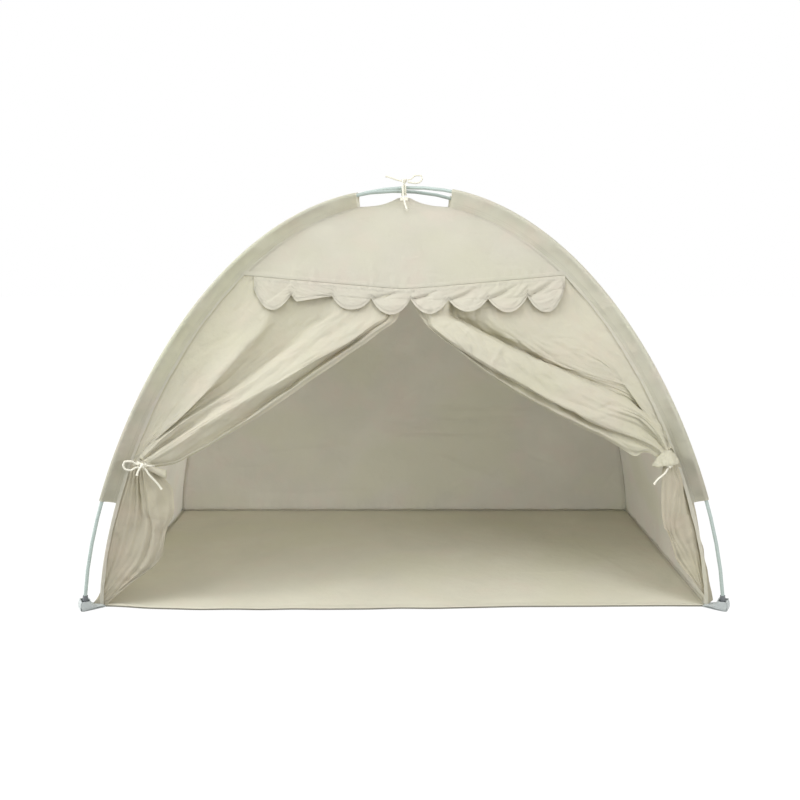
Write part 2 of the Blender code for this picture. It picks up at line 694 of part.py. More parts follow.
def tail_width(height):
    """How far the tail's free edge stands from its axis at this height."""
    top = TIE_HEIGHT - TAIL_HEAD_DROP
    if height > TAIL_TIP_HEIGHT:
        share = (top - height) / (top - TAIL_TIP_HEIGHT)
        return TAIL_HEAD_WIDTH + (TAIL_TIP_WIDTH - TAIL_HEAD_WIDTH) * math.sin(share * math.pi / 2)
    share = (TAIL_TIP_HEIGHT - height) / (TAIL_TIP_HEIGHT - TAIL_FOOT_HEIGHT)
    return TAIL_TIP_WIDTH + (TAIL_FOOT_WIDTH - TAIL_TIP_WIDTH) * share**TAIL_HEM_CURVE


def make_tail(name, side):
    """The free cloth under the tie, which hangs at the low side of the line from tie to corner."""
    foot, head = tail_axis(side)
    along = (head - foot).normalized()
    inward = (along * along.z - Vector((0, 0, 1))).normalized()
    across = along.cross(inward)
    top = TIE_HEIGHT - TAIL_HEAD_DROP
    rows = []
    for j in range(TAIL_ROWS + 1):
        w = j / TAIL_ROWS
        height = top + (TAIL_FOOT_HEIGHT - top) * w
        centre = foot.lerp(head, height / TIE_HEIGHT)
        width = tail_width(height)
        row = []
        for k in range(TAIL_COLUMNS + 1):
            v = k / TAIL_COLUMNS
            reach = TAIL_AXIS_GAP + (width - TAIL_AXIS_GAP) * v
            fold = TAIL_FOLD * math.sin(TAIL_HALF_FOLDS * math.pi * v) * (1 - w**2)
            row.append(centre + inward * reach + across * fold)
        rows.append(row)
    cloth_sheet(name, [rows], material("cotton", COTTON))


# Ties

def make_knot(name, centre, look):
    """A flattened knot with a waist, where the bow's strands go in."""
    turns = [2 * math.pi * k / KNOT_SIDES for k in range(KNOT_SIDES)]
    rings = []
    for along, girth in KNOT_SHARES:
        rings.append([
            centre + Vector((
                along * KNOT_HALF_WIDTH,
                girth * KNOT_HALF_DEPTH * math.cos(turn),
                girth * KNOT_HALF_HEIGHT * math.sin(turn),
            ))
            for turn in turns
        ])
    ring_solid(name, rings, look)


def from_knot(knot, side, route):
    return [knot + Vector((side * out, back, up)) for out, back, up in route]


def make_side_tie(label, side, routes):
    """The tie sewn to the ridge seam, round the gathered curtain, with its knot and free ends in front."""
    look = material("tie_cotton", TIE_COTTON)
    centre = tie_centre(side)
    radius = BUNCH_HALF + CLOTH / 2 + CORD_GAP + CORD_RADIUS
    mouth = math.radians(180 - WRAP_MOUTH_DEGREES)
    ring = []
    for k in range(WRAP_POINTS + 1):
        angle = mouth - 2 * mouth * k / WRAP_POINTS
        ring.append(centre + Vector((-side * math.cos(angle), math.sin(angle), 0)) * radius)
    cord(f"{label}_tie_wrap", ring, CORD_RADIUS, look)
    knot = centre - Vector((0, radius + CORD_RADIUS + CORD_GAP + KNOT_HALF_DEPTH, 0))
    make_knot(f"{label}_tie_knot", knot, look)
    for name, route in routes.items():
        cord(f"{label}_tie_{name}", from_knot(knot, side, route), CORD_RADIUS, look)


def squared(value):
    """Bends a sine or cosine so that a circle's points fall on a rounded square."""
    return math.copysign(abs(value) ** (2 / CROWN_WRAP_SQUARENESS), value)


def make_crown_tie():
    """A tab sewn over the crown, and the cord that lashes it to the two poles where they cross."""
    look = material("tie_cotton", TIE_COTTON)
    base = CANOPY_HEIGHT + CROWN_TAB_GAP
    across = CROWN_TAB_WIDTH / 2
    section = ((-across, 0), (across, 0), (across, CLOTH), (-across, CLOTH))
    ends = (-CROWN_TAB_LENGTH / 2, CROWN_TAB_LENGTH / 2)
    rings = [[Vector((x, y, base + z)) for y, z in section] for x in ends]
    ring_solid("crown_tie_tab", rings, material("cotton", COTTON))
    low = base + CLOTH + CORD_GAP + CORD_RADIUS
    high = POLE_TOP + CROSSING_LIFT + POLE_RADIUS + CORD_GAP * 2 + CORD_RADIUS
    middle, rise = (low + high) / 2, (high - low) / 2
    pitch = CORD_RADIUS * 2 + CORD_GAP
    half_back = POLE_RADIUS * HALF_DIAGONAL / HALF_WIDTH + pitch * HALF_DEPTH / HALF_WIDTH
    half_back += CORD_RADIUS + CROWN_WRAP_SIDE_GAP
    turns = []
    for k in range(CROWN_WRAP_POINTS * CROWN_WRAP_TURNS + 1):
        angle = 2 * math.pi * k / CROWN_WRAP_POINTS
        turns.append(Vector((
            pitch * (k / CROWN_WRAP_POINTS - CROWN_WRAP_TURNS / 2),
            half_back * squared(math.sin(angle)),
            middle - rise * squared(math.cos(angle)),
        )))
    cord("crown_tie_wrap", turns, CORD_RADIUS, look, CROWN_WRAP_STEP)
    knot = Vector((0, -KNOT_HALF_DEPTH, high + CORD_RADIUS + CORD_GAP + KNOT_HALF_HEIGHT))
    make_knot("crown_tie_knot", knot, look)
    routes = {"loop": CROWN_LOOP_ROUTE, "up_tail": CROWN_UP_TAIL_ROUTE, "down_tail": CROWN_DOWN_TAIL_ROUTE}
    for name, route in routes.items():
        cord(f"crown_tie_{name}", from_knot(knot, 1, route), CORD_RADIUS, look)


def main():
    for old in list(bpy.data.objects):
        bpy.data.objects.remove(old)
    poles = {
        "lower": make_pole("lower_pole", CORNERS["front_left"], -CROSSING_LIFT),
        "upper": make_pole("upper_pole", CORNERS["front_right"], CROSSING_LIFT),
    }
    for name, corner in CORNERS.items():
        pole = next(p for p in poles.values() if corner in (p.front, p.rear))
        make_sleeve(f"{name}_sleeve", corner, pole)
        make_pocket(f"{name}_pocket", corner, pole)
    make_floor()
    make_wall("back_panel", 180)
    make_wall("left_side_panel", -90)
    make_wall("right_side_panel", 90)
    make_wall("front_gable", 0, 2)
    make_valance()
    left_routes = {
        "loop": LEFT_LOOP_ROUTE, "long_tail": LEFT_LONG_TAIL_ROUTE, "short_tail": LEFT_SHORT_TAIL_ROUTE,
    }
    for label, side, routes in (("left", -1, left_routes), ("right", 1, {"tail": RIGHT_TAIL_ROUTE})):
        make_curtain(f"{label}_curtain", side)
        make_tail(f"{label}_curtain_tail", side)
        make_side_tie(label, side, routes)
    make_crown_tie()


main()
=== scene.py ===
"""The looks of a children's dome play tent, pitched, with its door curtains tied back.

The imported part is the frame. Its poles, ferrules, tips and elastic cords keep their
meshes and get better materials. Every piece of cloth, webbing and tie cord is made
again here with its folds, seams and hems. Places are in metres in the part's frame:
+Z is up and the door faces -Y. A place taken from the photograph is a pixel of its
800 x 800 frame and a distance in millimetres outside the canopy's front.
"""

import math

import bpy
import numpy as np
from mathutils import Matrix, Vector

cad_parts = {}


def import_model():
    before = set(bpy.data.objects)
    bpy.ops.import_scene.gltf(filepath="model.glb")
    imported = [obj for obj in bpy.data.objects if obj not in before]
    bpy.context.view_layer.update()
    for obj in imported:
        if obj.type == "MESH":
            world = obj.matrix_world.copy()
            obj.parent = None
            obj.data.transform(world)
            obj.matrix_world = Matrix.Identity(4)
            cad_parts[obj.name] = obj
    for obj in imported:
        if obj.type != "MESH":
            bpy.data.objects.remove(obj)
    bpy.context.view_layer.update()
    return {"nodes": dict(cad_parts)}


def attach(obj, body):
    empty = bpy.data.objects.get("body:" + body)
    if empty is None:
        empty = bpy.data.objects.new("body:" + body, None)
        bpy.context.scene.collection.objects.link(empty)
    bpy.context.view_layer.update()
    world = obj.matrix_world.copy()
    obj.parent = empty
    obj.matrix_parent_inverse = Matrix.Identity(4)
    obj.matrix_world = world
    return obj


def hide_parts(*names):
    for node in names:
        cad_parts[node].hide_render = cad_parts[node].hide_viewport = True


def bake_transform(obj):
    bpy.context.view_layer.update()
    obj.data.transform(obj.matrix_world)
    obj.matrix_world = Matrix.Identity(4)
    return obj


MM = 0.001

# Sizes of the part, as in its source
HALF_WIDTH = 0.750
HALF_DEPTH = 0.425
HALF_DIAGONAL = math.hypot(HALF_WIDTH, HALF_DEPTH)
CANOPY_HEIGHT = 0.997
FOOT_ROUNDNESS = 2.13
CROWN_ROUNDNESS = 1.55
CROWN_HOLE_SHARE = 0.02
PANEL_THICKNESS = 0.0015
POLE_TO_SEAM = 0.036
POLE_TOP = CANOPY_HEIGHT + POLE_TO_SEAM
CROSSING_LIFT = 0.0048
SLEEVE_FOOT_HEIGHT = 0.258
SLEEVE_CROWN_REACH_SHARE = 0.165
TIE_HEIGHT = 0.355
LEFT_TIE = Vector((-0.6317, -0.3823, TIE_HEIGHT))
RIGHT_TIE = Vector((0.6427, -0.3823, TIE_HEIGHT))
LEFT_FOOT = Vector((-0.728, -0.414, 0))
RIGHT_FOOT = Vector((0.728, -0.414, 0))
WRAP_RADIUS = 0.02285
KNOT_FORWARD = 0.03095
CROWN_KNOT = Vector((0, -0.005, 1.0556))
CROWN_WRAP_HIGH = 1.046
CORD_DIAMETER = 0.005
LEFT_KNOT = LEFT_TIE - Vector((0, KNOT_FORWARD, 0))
RIGHT_KNOT = RIGHT_TIE - Vector((0, KNOT_FORWARD, 0))
CORNERS = {"front_left": (-1, -1), "front_right": (1, -1), "rear_left": (-1, 1), "rear_right": (1, 1)}
POLE_LIFTS = {
    "front_left": -CROSSING_LIFT, "rear_right": -CROSSING_LIFT,
    "front_right": CROSSING_LIFT, "rear_left": CROSSING_LIFT,
}

# Camera, fitted to the photograph's outline
CAMERA_PLACE = Vector((0, -2.601, 0.876))
CAMERA_TILT = 0.163
CAMERA_LENS = 41.7
CAMERA_SHIFT = -0.005
SENSOR_WIDTH = 36
IMAGE_SIZE = 800
FOCAL_PIXELS = CAMERA_LENS / SENSOR_WIDTH * IMAGE_SIZE
CENTRE_X = IMAGE_SIZE * (0.5 - CAMERA_SHIFT)
CENTRE_Y = IMAGE_SIZE * 0.5
SEAM_METRES_PER_PIXEL = 0.00253
RAY_STEPS = 40
RAY_START_HEIGHT = 0.5

# Cloth
SHEET_THICKNESS = 0.9 * MM
SEAM_LOW = 0.773
SEAM_RISE = 0.0347
SEAM_HALF = 0.395
SEAM_ROUNDING = 0.030
CROWN_SAG = 0.006
CROWN_PULL = 0.020
CROWN_PULL_REACH = 0.055
RIDGE_POINTS = 24
RIPPLE_WAVES = 26
PUCKER_WAVES = 6
TENT_MIDDLE = np.array([0, 0, 0.3])

# How finely curves are worked out
CURVE_STEPS = 8
ARCH_SAMPLES = 600
ARCH_NUDGE = math.pi / 2000
FRONT_MARGIN = 0.002
FRONT_SAMPLES = 3000


# Numbers: smooth curves and the canopy's arch

def through(knots, values, at):
    """Smooth values through the given ones at these knots, that never overshoot them."""
    knots, values = np.asarray(knots, float), np.asarray(values, float)
    step = np.diff(knots)[:, None]
    slope = np.diff(values, axis=0) / step
    tangent = np.zeros_like(values)
    tangent[0], tangent[-1] = slope[0], slope[-1]
    if len(knots) > 2:
        before, after = slope[:-1], slope[1:]
        near, far = 2 * step[1:] + step[:-1], step[1:] + 2 * step[:-1]
        same = before * after > 0
        safe_before, safe_after = np.where(same, before, 1), np.where(same, after, 1)
        tangent[1:-1] = np.where(same, (near + far) / (near / safe_before + far / safe_after), 0)
    i = np.clip(np.searchsorted(knots, at, "right") - 1, 0, len(knots) - 2)
    u = ((at - knots[i]) / step[i, 0])[:, None]
    return (
        values[i] * (1 + 2 * u) * (1 - u) ** 2 + tangent[i] * step[i] * u * (1 - u) ** 2
        + values[i + 1] * u**2 * (3 - 2 * u) + tangent[i + 1] * step[i] * u**2 * (u - 1)
    )


def chords(points):
    """Distance along a polyline at each of its points."""
    return np.concatenate([[0], np.cumsum(np.linalg.norm(np.diff(points, axis=0), axis=1))])


def resample(points, count):
    """Evenly spaced points on a smooth curve through the given ones."""
    points = np.asarray(points, float)
    fine = through(chords(points), points, np.linspace(0, chords(points)[-1], count * CURVE_STEPS))
    length = chords(fine)
    even = np.linspace(0, length[-1], count)
    return np.stack([np.interp(even, length, fine[:, k]) for k in range(fine.shape[1])], axis=1)


def smooth_step(value):
    value = np.clip(value, 0, 1)
    return value * value * (3 - 2 * value)


def arch(t):
    """Reach and rise of the ridge seam at angle t, as shares of the half floor and of the height."""
    return np.abs(np.cos(t)) ** (2 / FOOT_ROUNDNESS), np.abs(np.sin(t)) ** (2 / CROWN_ROUNDNESS)


def angle_at_height(height):
    return np.arcsin((np.asarray(height, float) / CANOPY_HEIGHT) ** (CROWN_ROUNDNESS / 2))


def angle_at_reach(share):
    return np.arccos(np.asarray(share, float) ** (FOOT_ROUNDNESS / 2))


def profile(half_run, t):
    """Distance out, height and outward normal of a wall's upright section at angles t."""
    low, high = np.maximum(t - ARCH_NUDGE, 0), np.minimum(t + ARCH_NUDGE, math.pi / 2)
    reach, rise = arch(t)
    low_reach, low_rise = arch(low)
    high_reach, high_rise = arch(high)
    out = half_run * (high_reach - low_reach)
    up = CANOPY_HEIGHT * (high_rise - low_rise)
    size = np.hypot(out, up)
    return half_run * reach, CANOPY_HEIGHT * rise, up / size, -out / size


def even_angles(half_run, low, high, count):
    """Angles between two that are evenly spaced along the arch."""
    fine = np.linspace(low, high, ARCH_SAMPLES)
    out, up = profile(half_run, fine)[:2]
    length = chords(np.stack([out, up], axis=1))
    return np.interp(np.linspace(0, length[-1], count), length, fine)


FRONT_ANGLES = np.linspace(FRONT_MARGIN, math.pi / 2 - FRONT_MARGIN, FRONT_SAMPLES)
FRONT_OUT, FRONT_UP, FRONT_NORMAL_OUT, FRONT_NORMAL_UP = profile(HALF_DEPTH, FRONT_ANGLES)


def front_y(height, depth=0.0):
    """Where the canopy's front is at this height, moved out by a depth."""
    foot = height - np.interp(height, FRONT_UP, FRONT_NORMAL_UP) * depth
    return -np.interp(foot, FRONT_UP, FRONT_OUT) - np.interp(foot, FRONT_UP, FRONT_NORMAL_OUT) * depth


def on_front(marks):
    """Points seen at pixels (x, y), at a distance in mm outside the canopy's front."""
    marks = np.asarray(marks, float)
    right = (marks[:, 0] - CENTRE_X) / FOCAL_PIXELS
    up = (CENTRE_Y - marks[:, 1]) / FOCAL_PIXELS
    ahead = math.cos(CAMERA_TILT) + up * math.sin(CAMERA_TILT)
    rise = up * math.cos(CAMERA_TILT) - math.sin(CAMERA_TILT)
    height = np.full(len(marks), RAY_START_HEIGHT)
    for _ in range(RAY_STEPS):
        reach = (front_y(height, marks[:, 2] * MM) - CAMERA_PLACE.y) / ahead
        height = CAMERA_PLACE.z + rise * reach
    return np.stack([right * reach, CAMERA_PLACE.y + ahead * reach, height], axis=1)


def seam_height(x):
    """The door seam sags to its middle under the curtains' weight."""
    bend = np.sqrt(np.asarray(x, float) ** 2 + SEAM_ROUNDING**2) - SEAM_ROUNDING
    return SEAM_LOW + SEAM_RISE * bend / SEAM_HALF


def seam_point(pixel_x, depth=0.0):
    """The place on the door seam that is seen at this column of the photograph."""
    x = (np.asarray(pixel_x, float) - CENTRE_X) * SEAM_METRES_PER_PIXEL
    height = seam_height(x)
    return np.stack([x, front_y(height, depth), height], axis=-1)


def ridge_line(side, top, low, inset):
    """Points on the front just inside a ridge seam, from a height down to another."""
    heights = np.linspace(top, low, RIDGE_POINTS)
    out = profile(HALF_WIDTH, angle_at_height(heights))[0] - inset
    return np.stack([side * out, front_y(heights, -PANEL_THICKNESS / 2), heights], axis=1)


def in_plane(corner, out, up):
    """Places in the upright diagonal plane through a floor corner."""
    sx, sy = corner
    x, y = sx * HALF_WIDTH / HALF_DIAGONAL * out, sy * HALF_DEPTH / HALF_DIAGONAL * out
    return np.stack([x, y, up + 0 * out], axis=-1)


def pole_line(corner, lift, angles):
    """Pole centres over the ridge seam, and the seam's own points, at these angles."""
    out, up, normal_out, normal_up = profile(HALF_DIAGONAL, angles)
    rise = (up + normal_up * POLE_TO_SEAM) * (1 + lift / POLE_TOP)
    return in_plane(corner, out + normal_out * POLE_TO_SEAM, rise), in_plane(corner, out, up)


# Folds and wrinkles, as heights over a cloth's own two lengths

def ripples(u, v, seed, wavelength, along=None, spread=math.pi):
    """A gentle random field of about this wavelength, its waves running across the direction along."""
    random = np.random.RandomState(seed)
    field = np.zeros_like(u)
    for _ in range(RIPPLE_WAVES):
        if along is None:
            turn = random.uniform(0, math.pi)
        else:
            turn = along + math.pi / 2 + random.normal(0, spread)
        rate = 2 * math.pi / (wavelength * random.uniform(0.7, 1.5))
        field += np.cos(rate * (u * math.cos(turn) + v * math.sin(turn)) + random.uniform(0, 2 * math.pi))
    return field / math.sqrt(RIPPLE_WAVES / 2)


def creases(u, v, seed, count, length, width, height, along=0.0, spread=0.4):
    """Short sharp creases scattered over a cloth."""
    random = np.random.RandomState(seed)
    field = np.zeros_like(u)
    for _ in range(count):
        centre_u, centre_v = random.uniform(u.min(), u.max()), random.uniform(v.min(), v.max())
        turn = along + random.normal(0, spread)
        half = length * random.uniform(0.5, 1.3) / 2
        wide = width * random.uniform(0.6, 1.5)
        bow = random.normal(0, 0.8)
        far = (u - centre_u) * math.cos(turn) + (v - centre_v) * math.sin(turn)
        off = (v - centre_v) * math.cos(turn) - (u - centre_u) * math.sin(turn) + bow * far**2
        taper = np.clip(1 - (far / half) ** 2, 0, None) ** 2
        rise = random.choice([-1, 1]) * height * random.uniform(0.5, 1.2)
        field += rise * np.exp(-np.abs(off) / wide) * taper
    return field


def crumple(u, v, seed, size):
    """Sharp valleys between rounded swells, as crushed cotton keeps."""
    field = np.abs(ripples(u, v, seed, size)) + 0.5 * np.abs(ripples(u, v, seed + 1, size * 0.45))
    return field - field.mean()


def pull(u, v, start, end, width, height):
    """One long soft crease between two places on a cloth."""
    start, end = np.array(start), np.array(end)
    along = (end - start) / np.linalg.norm(end - start)
    far = (u - start[0]) * along[0] + (v - start[1]) * along[1]
    off = (v - start[1]) * along[0] - (u - start[0]) * along[1]
    share = far / np.linalg.norm(end - start)
    taper = smooth_step(share / 0.25) * smooth_step((1 - share) / 0.25)
    return height * np.exp(-np.abs(off) / width) * taper


def puckers(along, distance, seed, wavelength, height, decay):
    """Small gathers that a seam's thread draws into the cloth beside it."""
    random = np.random.RandomState(seed)
    wave = np.zeros_like(along)
    for _ in range(PUCKER_WAVES):
        rate = 2 * math.pi / (wavelength * random.uniform(0.7, 1.6))
        wave += np.sin(rate * along + random.uniform(0, 2 * math.pi) + 30 * distance * random.normal())
    return height * wave / math.sqrt(PUCKER_WAVES / 2) * np.exp(-distance / decay)


def own_lengths(grid):
    """A cloth's own two coordinates in metres, along its rows and down its columns."""
    across = np.linalg.norm(np.diff(grid, axis=1), axis=2)
    down = np.linalg.norm(np.diff(grid, axis=0), axis=2)
    u = np.concatenate([np.zeros((grid.shape[0], 1)), np.cumsum(across, axis=1)], axis=1)
    v = np.concatenate([np.zeros((1, grid.shape[1])), np.cumsum(down, axis=0)], axis=0)
    return u - u[:, -1:] / 2, v


def normals(grid):
    """Unit normals of a grid, on the side away from the tent's middle."""
    cross = np.cross(np.gradient(grid, axis=1), np.gradient(grid, axis=0))
    cross /= np.maximum(np.linalg.norm(cross, axis=2, keepdims=True), 1e-12)
    outward = (cross * (grid - TENT_MIDDLE)).sum()
    return cross if outward > 0 else -cross


def edge_distance(grid):
    """Distance from each point to its nearest edge, and the place along that edge."""
    u, v = own_lengths(grid)
    gaps = np.stack([u - u[:, :1], u[:, -1:] - u, v - v[:1], v[-1:] - v])
    nearest = gaps.argmin(axis=0)
    return np.where(nearest < 2, v, u), gaps.min(axis=0)

# Building meshes

SHEET_SHARP_DEGREES = 65
RING_SHARP_DEGREES = 50
RING_GIRTH = 0.03


def add_object(name, data):
    obj = bpy.data.objects.new(name, data)
    bpy.context.scene.collection.objects.link(obj)
    return obj


def set_map(mesh, name, values):
    """Fill a UV map from one pair of numbers for each vertex."""
    layer = mesh.uv_layers[name]
    corners = np.zeros(len(mesh.loops), int)
    mesh.loops.foreach_get("vertex_index", corners)
    layer.data.foreach_set("uv", values[corners].astype(np.float32).ravel())


def solid(name, points, faces, maps, look, sharp_degrees):
    """A smooth object with its UV maps, sharp where its faces meet at more than this angle."""
    mesh = bpy.data.meshes.new(name)
    mesh.from_pydata(points.reshape(-1, 3).tolist(), [], faces)
    mesh.update()
    for title, values in maps.items():
        mesh.uv_layers.new(name=title)
        set_map(mesh, title, values)
    mesh.shade_smooth()
    mesh.set_sharp_from_angle(angle=math.radians(sharp_degrees))
    mesh.materials.append(look)
    obj = add_object(name, mesh)
    return obj


def grid_faces(rows, columns, first=0, flip=False):
    index = first + np.arange(rows * columns).reshape(rows, columns)
    corners = [index[:-1, :-1], index[:-1, 1:], index[1:, 1:], index[1:, :-1]]
    quads = np.stack(corners, axis=-1).reshape(-1, 4)
    return quads[:, ::-1] if flip else quads


def sheet_mesh(name, grid, look, slot="canopy_cotton", thickness=SHEET_THICKNESS):
    """A closed sheet of cloth about a grid, with a map of its weave and one of its nearest edge."""
    rows, columns = grid.shape[:2]
    total = rows * columns
    offset = normals(grid) * (thickness / 2 if np.isscalar(thickness) else thickness[..., None] / 2)
    points = np.stack([grid + offset, grid - offset])
    index = np.arange(total).reshape(rows, columns)
    border = np.concatenate([index[0, :-1], index[:-1, -1], index[-1, :0:-1], index[:0:-1, 0]])
    following = np.roll(border, -1)
    rim = np.stack([border, border + total, following + total, following], axis=1)
    faces = np.concatenate([grid_faces(rows, columns), grid_faces(rows, columns, total, True), rim])
    maps = {}
    for title, pair in (("weave", own_lengths(grid)), ("edge", edge_distance(grid))):
        values = np.stack([half.ravel() for half in pair], axis=1)
        maps[title] = np.concatenate([values, values])
    return solid(name, points, faces.tolist(), maps, look, SHEET_SHARP_DEGREES)


def ring_mesh(name, rings, look, closed=False):
    """A solid through rings of points (count, sides, 3), its ends capped unless it closes on itself."""
    count, sides = rings.shape[:2]
    index = np.arange(count * sides).reshape(count, sides)
    if closed:
        index = np.concatenate([index, index[:1]])
    after = np.roll(index, -1, axis=1)
    faces = np.stack([index[:-1], after[:-1], after[1:], index[1:]], axis=-1).reshape(-1, 4).tolist()
    if not closed:
        faces += [index[0, ::-1].tolist(), index[-1].tolist()]
    girth = np.linspace(0, 1, sides, endpoint=False) * RING_GIRTH
    length = chords(rings.mean(axis=1))
    values = np.stack([np.tile(girth, count), np.repeat(length, sides)], axis=1)
    maps = {"weave": values, "edge": values[:, ::-1]}
    return solid(name, rings, faces, maps, look, RING_SHARP_DEGREES)


def cloth(name, grid, look, held, rests_on, node=None, swing=None, **kind):
    """A sheet attached to the root, or left loose where a swing is given, and may replace a node."""
    obj = sheet_mesh(name, grid, look, **kind)
    if swing:
        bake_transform(obj)
    else:
        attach(obj, "root")
    if node:
        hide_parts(node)


def frames(path):
    """Two cross directions at each point of a path that turn as little as they can."""
    along = np.gradient(path, axis=0)
    along /= np.linalg.norm(along, axis=1, keepdims=True)
    side = np.zeros_like(path)
    start = np.cross(along[0], [0.2, 0.3, 1])
    side[0] = start / np.linalg.norm(start)
    for i in range(1, len(path)):
        step = side[i - 1] - along[i] * (side[i - 1] @ along[i])
        side[i] = step / np.linalg.norm(step)
    return side, np.cross(along, side)


STRAND_PITCH = 0.016
STRAND_COUNT = 3
STRAND_SWELL = 0.07
STRAND_CORE = 0.95
CORD_SIDES = 20
CORD_STEP = 0.0012
CORD_END_FLARE = 0.35
CORD_FLARE_LENGTH = 0.004
SHORTEST_CORD_POINTS = 12


def rope_rings(path, diameter, end_flare=0.0):
    """Rings of a soft twisted cord, with an end that may fray wider."""
    side, other = frames(path)
    length = chords(path)
    turn = np.linspace(0, 2 * math.pi, CORD_SIDES, endpoint=False)
    twist = STRAND_COUNT * (turn[None, :] - 2 * math.pi * length[:, None] / STRAND_PITCH)
    flare = 1 + end_flare * np.exp(-((length[-1] - length) / CORD_FLARE_LENGTH) ** 2)
    radius = diameter / 2 * flare[:, None] * (STRAND_CORE + STRAND_SWELL * np.cos(twist))
    return path[:, None] + radius[..., None] * (
        side[:, None] * np.cos(turn)[None, :, None] + other[:, None] * np.sin(turn)[None, :, None]
    )


# Materials

class Nodes:
    """Short ways to add shader nodes to a material or to the world."""

    def __init__(self, owner):
        owner.use_nodes = True
        self.owner = owner
        self.tree = owner.node_tree

    def add(self, kind, inputs=(), **settings):
        node = self.tree.nodes.new(kind)
        for key, value in settings.items():
            setattr(node, key, value)
        for key, value in dict(inputs).items():
            self.feed(node.inputs[key], value)
        return node

    def feed(self, socket, value):
        if isinstance(value, bpy.types.NodeSocket):
            self.tree.links.new(value, socket)
        else:
            socket.default_value = value

    def math(self, operation, first, second=0.0):
        return self.add("ShaderNodeMath", {0: first, 1: second}, operation=operation).outputs[0]

    def plus(self, first, second):
        return self.math("ADD", first, second)

    def times(self, first, second):
        return self.math("MULTIPLY", first, second)

    def sine(self, value, wavelength):
        return self.math("SINE", self.times(value, 2 * math.pi / wavelength))

    def uv(self, title):
        return self.add("ShaderNodeUVMap", uv_map=title).outputs[0]

    def place(self):
        return self.add("ShaderNodeTexCoord").outputs["Object"]

    def parts(self, vector):
        return self.add("ShaderNodeSeparateXYZ", {"Vector": vector}).outputs

    def noise(self, vector, scale, detail=2.0, roughness=0.5, **settings):
        inputs = {"Scale": scale, "Detail": detail, "Roughness": roughness, "Vector": vector}
        return self.add("ShaderNodeTexNoise", inputs, **settings).outputs[0]

    def scaled(self, vector, scale):
        return self.add("ShaderNodeMapping", {"Vector": vector, "Scale": scale}).outputs[0]

    def mix(self, share, first, second, blend_type="MIX"):
        inputs = {"Factor": share, "A": first, "B": second}
        return self.add("ShaderNodeMix", inputs, data_type="RGBA", blend_type=blend_type).outputs["Result"]

    def tint(self, tone, mask, strength, colour):
        """A tone drawn towards a colour where a mask is, no further than its strength."""
        return self.mix(self.times(mask, strength), tone, colour)

    def ramp(self, value, low, high):
        """0 at low and 1 at high, whichever of them is larger."""
        return self.add("ShaderNodeMapRange", {"Value": value, "From Min": low, "From Max": high}).outputs[0]

    def bump(self, height, distance, strength, below=None):
        """A normal moved by a height, on top of the relief below it."""
        inputs = {"Height": height, "Distance": distance, "Strength": strength}
        if below is not None:
            inputs["Normal"] = below
        return self.add("ShaderNodeBump", inputs).outputs[0]

    def finish(self, settings):
        """Set or link the sockets of the material's own shader."""
        shader = self.tree.nodes["Principled BSDF"]
        for key, value in settings.items():
            self.feed(shader.inputs[key], value)
        return self.owner

    def mix_in(self, share, other):
        """Mix another shader into the material's own."""
        own = self.tree.nodes["Principled BSDF"].outputs[0]
        both = self.add("ShaderNodeMixShader", {0: share, 1: own, 2: other.outputs[0]})
        self.feed(self.tree.nodes["Material Output"].inputs[0], both.outputs[0])

    def seen_directly(self):
        """1 for what the camera sees, also in a mirror or through glass, and 0 for light on its way."""
        rays = self.add("ShaderNodeLightPath").outputs
        seen = self.math("MAXIMUM", rays["Is Camera Ray"], rays["Is Glossy Ray"])
        return self.math("MAXIMUM", seen, rays["Is Transmission Ray"])


def new_material(name):
    return Nodes(bpy.data.materials.new(name))


def shade(colour, share):
    """A colour times one share, or times a share for each channel."""
    return (*(np.array(colour) * share), 1)


WEAVE_PITCH = 0.0011
HEM_DISTANCE = 0.009
STITCH_LENGTH = 0.0034
STITCH_HALF_WIDTHS = (0.0009, 0.0003)
SHADED_GROOVE_WIDTH = 0.0035
EDGE_WEAR_AND_SHADE_WIDTH = 0.0016
FOLD_STEPS = (HEM_DISTANCE + 0.0016, HEM_DISTANCE + 0.0006)
ALONG_WARP = (900.0, 38.0, 1.0)
ALONG_WEFT = (38.0, 900.0, 1.0)
ALONG_TWIST = (900.0, 260.0, 1.0)
ALONG_POLE = (6.0, 6.0, 220.0)
PINK_CAST = (1.015, 0.975, 0.985)
GREEN_CAST = (0.985, 0.995, 0.95)
FOOT_SHADE_CAST = (1, 0.99, 0.96)


def weave_height(nodes, vector):
    """The over and under of a plain weave, with slightly uneven yarns."""
    drift = nodes.times(nodes.noise(vector, scale=90.0), 1.6)
    along, across = nodes.parts(vector)[:2]
    rate = math.pi / WEAVE_PITCH
    warp = nodes.math("SINE", nodes.plus(nodes.times(along, rate), drift))
    weft = nodes.math("SINE", nodes.plus(nodes.times(across, rate), drift))
    return nodes.times(warp, weft)


